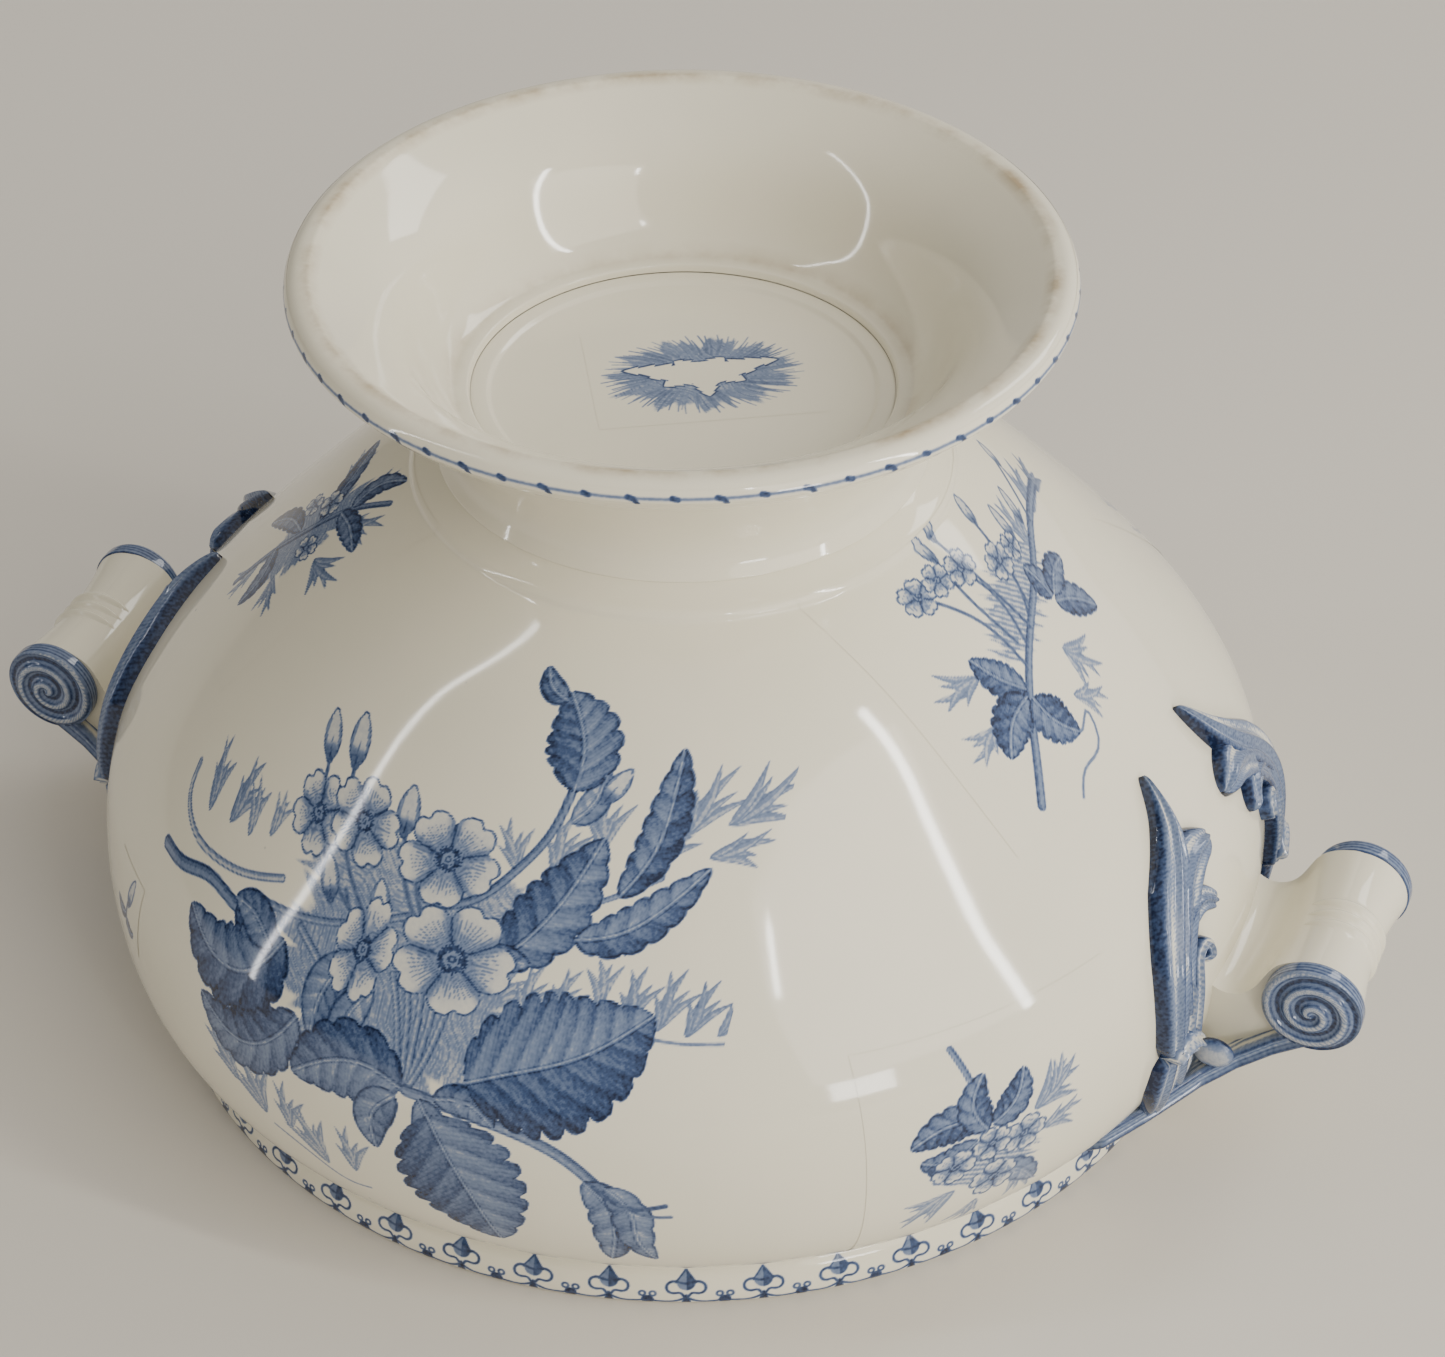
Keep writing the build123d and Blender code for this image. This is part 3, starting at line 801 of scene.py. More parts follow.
def holly_sprig(sheet: PrintField) -> None:
    """Engraves the low sprig: dark pointed leaves, outlined flowers and pale grasses."""
    each(sheet.tuft, (
        ((12, 2), 30, 6, 15, 70, 0.34), ((14, -4), 10, 5, 12, 60, 0.3), ((-6, -12), 214, 6, 15, 60, 0.3),
        ((0, -18), 250, 5, 12, 60, 0.28), ((8, -14), 300, 5, 12, 70, 0.28), ((16, 4), 60, 4, 11, 40, 0.3),
    ))
    sheet.wash([(-6, -8), (2, -6), (10, -8)], 14, 0.3, 1.2, 70)
    sheet.stem([(-5, 22), (-2, 14), (0, 4), (2, -6), (2, -16)], 1.3, 0.62)
    each(sheet.leaf, (
        ([(0, 4), (-6, 6), (-16, 3)], 9, 0.9, 6, 5, 1), ([(1, 2), (-2, 9), (1, 15)], 8, 0.86, 6, 5, -1),
        ([(2, 3), (7, 6), (10, 13)], 8, 0.88, 6, 5, 1), ([(-1, 0), (-8, -3), (-14, -1)], 8, 0.84, 5, 4, 1),
        ([(3, -10), (10, -14), (14, -20)], 7, 0.5, 5, 4, 1),
    ))
    for centre, radius, turn, squash in (
        ((-6.5, -5), 5.4, 10, 0.8), ((3, -12), 5.8, 44, 0.86), ((9.5, -3), 5.6, 20, 0.8), ((2, -2), 4.8, 60, 0.9),
    ):
        sheet.flower(centre, radius, turn, squash, 15)


def shoulder_spray(sheet: PrintField) -> None:
    """Engraves the slender spray on the shoulder: long dark leaves, bells and grasses."""
    sheet.haze((1, -3), (8, 17), 0.42, 60)
    each(sheet.tuft, (
        ((8, 6), 50, 5, 14, 60, 0.36), ((12, -2), 10, 6, 13, 80, 0.4), ((6, -14), 330, 5, 12, 60, 0.36),
        ((-4, -20), 270, 5, 12, 60, 0.34), ((-8, 6), 150, 5, 12, 60, 0.3), ((2, 12), 90, 4, 12, 50, 0.34),
    ))
    sheet.stem([(10, 18), (4, 8), (0, -4), (-4, -16), (-6, -28)], 1.6, 0.7)
    each(sheet.leaf, (
        ([(0, 0), (-8, 8), (-18, 12)], 6.5, 0.88, 6, 5, 1),
        ([(-2, -6), (-10, -10), (-19, -20)], 6, 0.9, 6, 5, -1),
        ([(3, 6), (10, 8), (18, 7)], 6.5, 0.84, 6, 5, 1), ([(-4, -14), (2, -18), (4, -26)], 6, 0.82, 5, 4, 1),
        ([(4, 9), (2, 16), (6, 23)], 6, 0.8, 5, 4, -1),
    ))
    for centre, radius, turn in (((-3, 3), 4.4, 20), ((6, -4), 4.2, 50), ((-8, -3), 3.8, 10)):
        sheet.flower(centre, radius, turn, 0.8, 30)


def stray_bud(sheet: PrintField) -> None:
    """Engraves one small loose bud with two leaves."""
    sheet.line([(0, -5), (0.5, 0), (2, 4)], 0.7, 0.7)
    sheet.bud((1.4, 1), (3, 8), 3.0)
    sheet.leaf([(0, -2), (-3, -3), (-6, -1)], 3.4, 0.85, 0, 3, 1)
    sheet.leaf([(0, -3), (3, -5), (5, -4)], 3.0, 0.8, 0, 3, 1)


def cartouche(sheet: PrintField) -> None:
    """Engraves a plain oval of brushed grass round an unlettered ivy leaf."""
    sheet.haze((0, 0), (18.5, 12.5), 0.42, 40)
    for stroke in range(96):
        heading = 2 * math.pi * stroke / 96
        sway = 0.22 + 0.08 * math.sin(stroke * 2.1)
        reach = 1.0 + 0.07 * math.sin(stroke * 1.7)
        points = [
            (k * reach * 19.5 * math.cos(heading + sway * k), k * reach * 13.4 * math.sin(heading + sway * k))
            for k in (0.55, 0.8, 1.0)
        ]
        sheet.line(points, 0.55, 0.34 + 0.2 * math.sin(stroke * 2.9) ** 2, (1.1, 0.4))
    lobes = ((14, 16.5), (166, 16.5), (52, 8.5), (128, 8.5), (272, 10.5), (332, 9.5), (208, 9.5), (0, 11), (180, 11))
    for rim, tone in ((0.45, 0.9), (0.0, 0.0)):
        for aim, length in lobes:
            heading = math.radians(aim)
            tip = (length * math.cos(heading), 0.8 * length * math.sin(heading))
            spots, along, side = sheet.trace([(0, 0), (tip[0] / 2, tip[1] / 2 + 0.5), tip], 12, 6)
            edge = 4.3 * (1 - along) ** 0.55 * (1 - 0.30 * ((along * 5) % 1.0)) + rim - 0.25
            sheet.ink(spots, edge - np.abs(side), tone)


# ---------------------------------------------------------------- the bowl's form

@dataclass(frozen=True)
class BellyLine:
    """The bowl's outer line from the rim to the foot's seat. Sizes in millimetres."""

    belly: Point = (125.0, 36.0)
    rim_radius: float = 114.3
    lip_height: float = 9.5
    groove_radius: float = 112.4
    shoulder: Point = (121.9, 57.5)
    collar: Point = (55.5, 127.5)
    seat: Point = (50.4, 132.9)

    def slope_point(self, inward: float, upward: float) -> Point:
        """A point of the long slope, as shares of its run from the shoulder to the collar."""
        return (
            self.shoulder[0] - inward * (self.shoulder[0] - self.collar[0]),
            self.shoulder[1] + upward * (self.collar[1] - self.shoulder[1]),
        )

    def wall(self, gap: float = 0.0) -> np.ndarray:
        """The belly from the groove to the collar ring, moved outwards by gap."""
        line = spline((
            (self.groove_radius, self.lip_height), (self.belly[0] - 6.3, self.lip_height + 6.0), self.belly,
            self.shoulder, self.slope_point(0.23, 0.32), self.slope_point(0.52, 0.62),
            self.slope_point(0.76, 0.84), self.collar,
        ), 240)
        along = headings(line)
        return line + gap * np.stack([along[:, 1], -along[:, 0]], -1)

    def outside(self) -> np.ndarray:
        """The whole outer line, its corners still crisp: lip band, belly, collar ring, seat."""
        lip = [(self.rim_radius - 1.3, 0.0), (self.rim_radius - 0.3, 0.4), (self.rim_radius, 1.4),
               (self.rim_radius - 0.1, 4.0), (self.rim_radius - 0.8, 7.0),
               (self.groove_radius - 0.3, self.lip_height - 0.4)]
        ring = [(self.collar[0] + 0.2, self.collar[1] + 0.7), (self.collar[0] - 1.0, self.collar[1] + 2.0),
                (self.seat[0] + 2.6, self.seat[1] - 2.6), (self.seat[0] + 0.8, self.seat[1] - 1.2),
                (self.seat[0] - 0.6, self.seat[1])]
        return np.concatenate([lip, self.wall()[2:], ring])

    def sampled(self) -> np.ndarray:
        """The softened outer line as rows of run, radius, height and outward normal."""
        line = soften(self.outside(), 0.45, 1.5, 0.8)
        run = walk(line)
        along = headings(line, run)
        return np.stack([run, line[:, 0], line[:, 1], along[:, 1], -along[:, 0]], -1)


class BowlSurface:
    """Places on the bowl's outer face, by azimuth and distance along its outer line."""

    def __init__(self, line: BellyLine) -> None:
        """Samples the outer line once."""
        self.table = line.sampled()

    def run_at(self, height: np.ndarray) -> np.ndarray:
        """How far along the outer line a height above the rim lies."""
        return np.interp(height, self.table[:, 2], self.table[:, 0])

    def radius_at(self, height: np.ndarray) -> np.ndarray:
        """The bowl's radius at a height."""
        return np.interp(height, self.table[:, 2], self.table[:, 1])

    def place(self, azimuth: np.ndarray, run: np.ndarray, lift: np.ndarray) -> np.ndarray:
        """Places on the face.

        Args:
            azimuth: Angles about Z in radians.
            run: Distances along the outer line in millimetres.
            lift: Heights off the face in millimetres.

        Returns:
            The places in millimetres, with xyz last.
        """
        radius, height, out, up = (np.interp(run, self.table[:, 0], self.table[:, i]) for i in (1, 2, 3, 4))
        scale = np.hypot(out, up)
        return about_z(radius + lift * out / scale, azimuth, height + lift * up / scale)

    def beside(self, across: np.ndarray, height: np.ndarray, lift: np.ndarray) -> np.ndarray:
        """Places on the +X side by their distance from the handle's middle and their height."""
        azimuth = np.arcsin(np.clip(across / self.radius_at(height), -0.999, 0.999))
        return self.place(azimuth, self.run_at(height), lift)

    def patch(
        self, middle: float, height: float, box: Sequence[float], draw: Sprig, lift: float = 0.08
    ) -> Sheet:
        """Makes a sheet of print laid on the face.

        Args:
            middle: Azimuth of the print's middle in degrees.
            height: Height of its middle above the rim in millimetres.
            box: Its left, right, bottom and top in millimetres about that middle.
            draw: The engraving.
            lift: Its height off the face in millimetres, unlike that of any print it overlaps.

        Returns:
            The sheet with its pigment.
        """
        centre = float(self.run_at(height))
        grain = 0.34
        top = min(box[3], self.table[-1, 0] - centre - 6)
        across = np.arange(box[0], box[1], grain)
        upward = np.arange(box[2], top, grain)
        grid_u, grid_v = np.meshgrid(across, upward)
        print_ = PrintField(grid_u, grid_v)
        draw(print_)
        radius = np.interp(centre + grid_v, self.table[:, 0], self.table[:, 1])
        azimuth = math.radians(middle) + grid_u / radius
        places = self.place(azimuth, centre + grid_v, np.full_like(grid_u, lift))
        return Sheet(places, False, {"pigment": print_.tone})


@dataclass(frozen=True)
class BowlBody:
    """The jiggered shell: lip band, belly, collar ring, dished base and plain inside."""

    line: BellyLine
    wall: float = 5.2
    boss_radius: float = 43.0
    floor_height: float = 144.4
    floor_radius: float = 39.5
    floor_step: float = 0.8
    base_thickness: float = 6.5
    segments: int = 384

    def profile(self) -> np.ndarray:
        """The closed profile: up the outside, over the boss and down the inside."""
        top = self.floor_height + self.floor_step
        boss = [(self.boss_radius, self.line.seat[1]), (self.boss_radius, top), (self.floor_radius, top),
                (self.floor_radius - 0.8, self.floor_height), (0.01, self.floor_height)]
        inner = self.line.wall(-self.wall)[::-1]
        inner = inner[inner[:, 0] > self.boss_radius + self.wall]
        under = self.floor_height - self.base_thickness
        dish = spline([(0.01, under), (16.0, under - 0.3), (34.0, under - 4.0), tuple(inner[0])], 24)
        lip_in = self.line.rim_radius - 5.4
        rim = [(lip_in, 1.4), (lip_in + 0.3, 0.4), (lip_in + 1.3, 0.0), (self.line.rim_radius - 1.3, 0.0)]
        outside = soften(self.line.outside(), 0.45, 5.0, 2.2)
        return np.concatenate([
            outside, soften(boss, 0.35, 7.0, 3.0)[1:], soften(np.concatenate([dish, inner[1:], rim]), 0.5)
        ])

    def make(self, glaze: bpy.types.Material) -> None:
        """Builds and dresses the shell."""
        shell = build("bowl_shell", [Sheet(turned(self.profile(), self.segments), True)])
        fit_out(shell, glaze, ["bowl_body"])


@dataclass(frozen=True)
class FootPedestal:
    """The flared hollow foot, with a worn standing ring and two shallow rings round its floor."""

    seat: Point = (50.4, 132.9)
    waist: Point = (48.4, 138.9)
    radius: float = 78.3
    top: float = 175.0
    lip: float = 3.6
    wall: float = 4.6
    ring: float = 1.6
    shelf: Point = (46.2, 146.8)
    boss_radius: float = 43.0
    segments: int = 320

    def flare(self) -> Point:
        """The point where the waist opens into the flare."""
        return (
            self.waist[0] + 0.42 * (self.radius - self.waist[0]),
            self.waist[1] + 0.66 * (self.top - self.lip - self.waist[1]),
        )

    def outer_line(self) -> np.ndarray:
        """The outside, from the seat to the start of the rounded edge."""
        flare = self.flare()
        return spline([
            self.seat, (self.waist[0] + 0.2, self.seat[1] + 3.0), self.waist,
            (self.waist[0] + 0.17 * (self.radius - self.waist[0]), self.waist[1] + 12.0), flare,
            (self.radius - 4.6, self.top - self.lip - 4.6), (self.radius, self.top - self.lip),
        ], 60)

    def profile(self) -> np.ndarray:
        """The whole profile: outside, rounded edge, standing ring, funnel, shelf and step."""
        flare = self.flare()
        edge = (self.radius - self.lip, self.top - self.lip)
        inside_ring = (edge[0] - self.ring, self.top)
        drop = 0.7 * self.wall
        funnel = spline([
            inside_ring, (inside_ring[0] - self.lip, self.top - 0.6 * self.lip),
            (flare[0] - drop, flare[1] + drop), (self.shelf[0] + 3.0, self.shelf[1] + 2.6), self.shelf,
        ], 50)
        steps = [(self.boss_radius + 0.2, self.shelf[1]), (self.boss_radius - 0.2, self.shelf[1] - 1.5)]
        corner = arc(edge, self.lip, 0, 90)
        start = [(self.seat[0] - 1.5, self.seat[1] - 0.6)]
        return soften(
            np.concatenate([start, self.outer_line(), corner[1:], funnel, steps]), 0.4, 6.0, 2.2
        )

    def make(self, glaze: bpy.types.Material) -> None:
        """Builds the foot, with brown wear where it stands and dirt round its floor."""
        profile = self.profile()
        places = turned(profile, self.segments)
        radius, height = profile[:, 0], profile[:, 1]
        worn = bell((radius - 73.6) / 1.5) * (height > self.top - 1.2)
        dirt = 0.5 * bell((radius - 46.5) / 1.2) * (np.abs(height - self.shelf[1]) < 2)
        stain = np.repeat((worn + dirt)[:, None], self.segments, 1)
        foot = build("foot_ring", [Sheet(places, True, {"stain": stain})])
        fit_out(foot, glaze, ["foot_pedestal"])


# ---------------------------------------------------------------- prints on the bowl

@dataclass(frozen=True)
class Placed:
    """One sprig and where it is laid: azimuth in degrees, height and box in millimetres."""

    name: str
    draw: Sprig
    azimuth: float
    height: float
    box: Tuple[float, float, float, float]
    lift: float = 0.08


@dataclass(frozen=True)
class Decoration:
    """All cobalt prints laid on the bowl and the foot."""

    surface: BowlSurface
    foot: FootPedestal
    repeats: int = 46
    motif_start: float = -107.4
    lip_radius: float = 113.8
    lip_band: Point = (0.5, 9.4)
    lip_lengths: int = 8
    foot_repeats: int = 60
    foot_lengths: int = 4
    foot_lift: float = 0.05
    lift: float = 0.045
    grain: float = 0.26
    stamp_turn: float = 29.5
    stamp_middle: Point = (1.7, 6.3)
    stamp_height: float = 144.45

    def sprays(self) -> List[Placed]:
        """The flower sprays, with the great one and the low sprig on both faces."""
        wide = (-84.0, 57.0, -68.0, 66.0)
        low = (-25.0, 34.0, -34.0, 26.0)
        small = (-8.0, 8.0, -8.0, 10.0)
        return [
            Placed("spray_great_front", great_spray, -92.9, 78.4, wide, self.lift),
            Placed("spray_great_back", great_spray, 87.1, 78.4, wide, self.lift),
            Placed("spray_bouquet", bouquet, -8.4, 110.8, (-35.0, 62.0, -34.0, 35.0)),
            Placed("sprig_low_front", holly_sprig, -40.5, 42.7, low),
            Placed("sprig_low_back", holly_sprig, 139.5, 42.7, low),
            Placed("spray_shoulder", shoulder_spray, -157.0, 113.4, (-26.0, 26.0, -34.0, 27.0)),
            Placed("bud_front", stray_bud, -136.6, 47.4, small),
            Placed("bud_back", stray_bud, 43.4, 47.4, small),
        ]

    def motif(self, sheet: PrintField, middle: float) -> None:
        """Engraves one repeat of the lip border, centred on a distance round the lip."""
        m, half = middle, math.pi * self.lip_radius / self.repeats
        for side in (-1, 1):
            sheet.line([
                (m + side * 0.9, 5.6), (m + side * 2.5, 6.3), (m + side * 3.8, 5.5), (m + side * 3.8, 4.2),
                (m + side * 2.6, 3.4), (m + side * 1.2, 3.5), (m + side * 0.5, 2.6),
            ], 0.5, 0.86)
            sheet.line([(m + side * 0.5, 2.0), (m + side * 2.6, 1.1), (m + side * (half - 1.4), 1.2)], 0.55, 0.8)
            ring = arc((m + side * (half - 1.05), 3.2), 0.62, 0, 360, 11)
            sheet.line([tuple(p) for p in ring], 0.42, 0.8)
            sheet.line([(m + side * half, 0.5), (m + side * half, 1.5)], 2.4, 0.9, (0.3, 1.0))
            sheet.line([(m + side * half, 1.5), (m + side * half, 2.4)], 2.4, 0.9, (1.0, 0.2))
            sheet.line([(m + side * 1.9, 6.2), (m, 8.7)], 0.5, 0.9)
        spots, along, side = sheet.trace([(m, 6.1), (m, 8.7)], 2, 3.0)
        sheet.ink(spots, 1.9 * (1 - along) - np.abs(side), 0.42 + 0.35 * (side < 0))
        sheet.line([(m - 1.9, 6.2), (m, 5.8), (m + 1.9, 6.2)], 0.5, 0.85)
        sheet.line([(m, 0.8), (m, 2.8)], 1.5, 0.92, (1.2, 0.4))

    def lip_border(self, length: int) -> Sheet:
        """One length of the border round the lip."""
        around = 2 * math.pi * self.lip_radius
        pitch = around / self.repeats
        share = around / self.lip_lengths
        start = length * share
        across = np.linspace(start, start + share, int(share / self.grain))
        upward = np.arange(*self.lip_band, self.grain)
        grid_u, grid_v = np.meshgrid(across, upward)
        sheet = PrintField(grid_u, grid_v)
        for number in range(-1, int(share / pitch) + 2):
            self.motif(sheet, (int(start / pitch) + number + 0.5) * pitch)
        azimuth = math.radians(self.motif_start) - math.pi / self.repeats + grid_u / self.lip_radius
        run = self.surface.run_at(np.array([1.4]))[0] - 1.4 + grid_v
        places = self.surface.place(azimuth, run, np.full_like(grid_u, self.lift))
        return Sheet(places, False, {"pigment": sheet.tone})

    def foot_border(self, length: int) -> Sheet:
        """One length of the notched line under the foot's edge."""
        line = self.foot.profile()
        run = walk(line)
        edge_run = run[np.argmax(line[:, 0])]
        share = 2 * math.pi * self.foot.radius / self.foot_lengths
        across = np.linspace(length * share, (length + 1) * share, int(share / self.grain))
        upward = np.arange(-5.6, 2.4, self.grain)
        grid_u, grid_v = np.meshgrid(across, upward)
        sheet = PrintField(grid_u, grid_v)
        band = 0.30 - np.abs(grid_v - 0.6)
        sheet.tone = 0.42 * np.clip(band / 0.5 + 0.5, 0, 1)
        pitch = 2 * math.pi * self.foot.radius / self.foot_repeats
        for number in range(int(length * share / pitch) - 1, int((length + 1) * share / pitch) + 2):
            x = (number + 0.5) * pitch
            sheet.line([(x - 0.5, 0.8), (x + 0.5, 0.5)], 1.05, 0.8)
            if number % 2:
                sheet.line([(x + 0.9, 0.1), (x + 1.3, -0.6)], 0.95, 0.8)
        radius = np.interp(edge_run + grid_v, run, line[:, 0])
        height = np.interp(edge_run + grid_v, run, line[:, 1])
        rise, flare = (np.interp(edge_run + grid_v, run, np.gradient(line[:, i], run)) for i in (1, 0))
        slope = np.arctan2(rise, flare)
        places = about_z(
            radius + self.foot_lift * np.sin(slope), grid_u / self.foot.radius,
            height - self.foot_lift * np.cos(slope),
        )
        return Sheet(places, False, {"pigment": sheet.tone})

    def stamp(self) -> Sheet:
        """The leaf cartouche on the floor inside the foot."""
        grid_u, grid_v = np.meshgrid(np.arange(-23, 23, 0.2), np.arange(-17, 17, 0.2))
        sheet = PrintField(grid_u, grid_v)
        cartouche(sheet)
        turn = math.radians(self.stamp_turn)
        x = grid_u * math.cos(turn) - grid_v * math.sin(turn) + self.stamp_middle[0]
        y = grid_u * math.sin(turn) + grid_v * math.cos(turn) + self.stamp_middle[1]
        return Sheet(np.stack([x, y, np.full_like(x, self.stamp_height)], -1), False, {"pigment": sheet.tone})

    def make(self, ink: bpy.types.Material) -> None:
        """Lays every print."""
        prints = {
            one.name: self.surface.patch(one.azimuth, one.height, one.box, one.draw, one.lift)
            for one in self.sprays()
        }
        for number in range(self.lip_lengths):
            prints[f"lip_border_{number + 1}"] = self.lip_border(number)
        for number in range(self.foot_lengths):
            prints[f"foot_border_{number + 1}"] = self.foot_border(number)
        prints["leaf_cartouche"] = self.stamp()
        for name, sheet in prints.items():
            fit_out(build(name, [sheet]), ink)


# ---------------------------------------------------------------- the handles

@dataclass(frozen=True)
class Ridge:
    """One moulded lobe on the bowl's face: its spine by distance from the handle's middle and height."""

    spine: Tuple[Point, ...]
    widths: Tuple[float, ...]
    height: float
    blunt: bool = False
    pitch: float = 1.15
    tone: float = 0.5

    def sheet(self, surface: BowlSurface) -> Sheet:
        """Raises the lobe off the bowl's face, with hatching that follows it, a dark print outline, painted shade in
        the valleys and down one side, and a lighter painted highlight band on both slopes.
        """
        curve = spline(self.spine, 90)
        length = np.linalg.norm(np.diff(curve, axis=0), axis=1).sum()
        along = np.linspace(0, 1, int(length / 0.45) + 2)
        path = np.stack([np.interp(along, np.linspace(0, 1, 90), curve[:, i]) for i in (0, 1)], -1)
        heading = headings(path)
        side = np.linspace(-1, 1, 33)
        swell = np.minimum(1.0, ((along + 0.02) / 0.12) ** 0.5)
        swell = swell * (np.sqrt(np.clip(1 - along ** 8, 0, 1)) if self.blunt else (1 - along ** 4.5) ** 0.56)
        width = np.interp(along, np.linspace(0, 1, len(self.widths)), self.widths)
        half = (width / 2 * swell + 0.12)[:, None]
        left = np.stack([-heading[:, 1], heading[:, 0]], -1)
        spot = path[:, None] - left[:, None] * (side[None, :, None] * half[..., None])
        flute = 1 + 0.13 * np.cos(3 * math.pi * side)
        crown = np.sqrt(np.clip(1 - side ** 2, 0, 1)) ** 0.8 * flute
        rise = np.minimum(1.0, 0.35 + 0.9 * swell)[:, None]
        sprung = smooth_step(along / 0.07)[:, None]
        lift = self.height * rise * crown[None] * sprung - 0.5 * np.abs(side)[None] ** 8 - 0.8 * (1 - sprung)
        sweep = along[:, None] * length - 1.1 * np.abs(side)[None] * half
        line = comb(sweep / self.pitch)
        # Painted highlight: a lighter band along both slopes of the lobe, stronger in places along its length.
        highlight_flank = np.abs(np.abs(side) - 0.42)[None]
        sway = 0.5 + 0.5 * np.sin(along * length / 4.2 + 2.0 * self.height)[:, None]
        # Print hatching, and darker towards both edges: partly the print's outline, partly painted shade in the
        # valleys between lobes.
        tone = self.tone * (0.72 + 0.40 * (line < 0.17)) + 0.5 * smooth_step((np.abs(side)[None] - 0.66) / 0.2)
        # Painted highlight on the slopes, and painted shade down one side of the lobe for the shadow line at its
        # edge.
        tone = tone - (0.16 + 0.26 * sway) * bell(highlight_flank / 0.15) + 0.16 * (side < -0.2)[None]
        tone = np.clip(tone + 0.4 * bell(side / 0.06)[None] * (1 - along)[:, None], 0, 1)
        return Sheet(surface.beside(spot[..., 0], spot[..., 1], lift), False, {"pigment": tone})


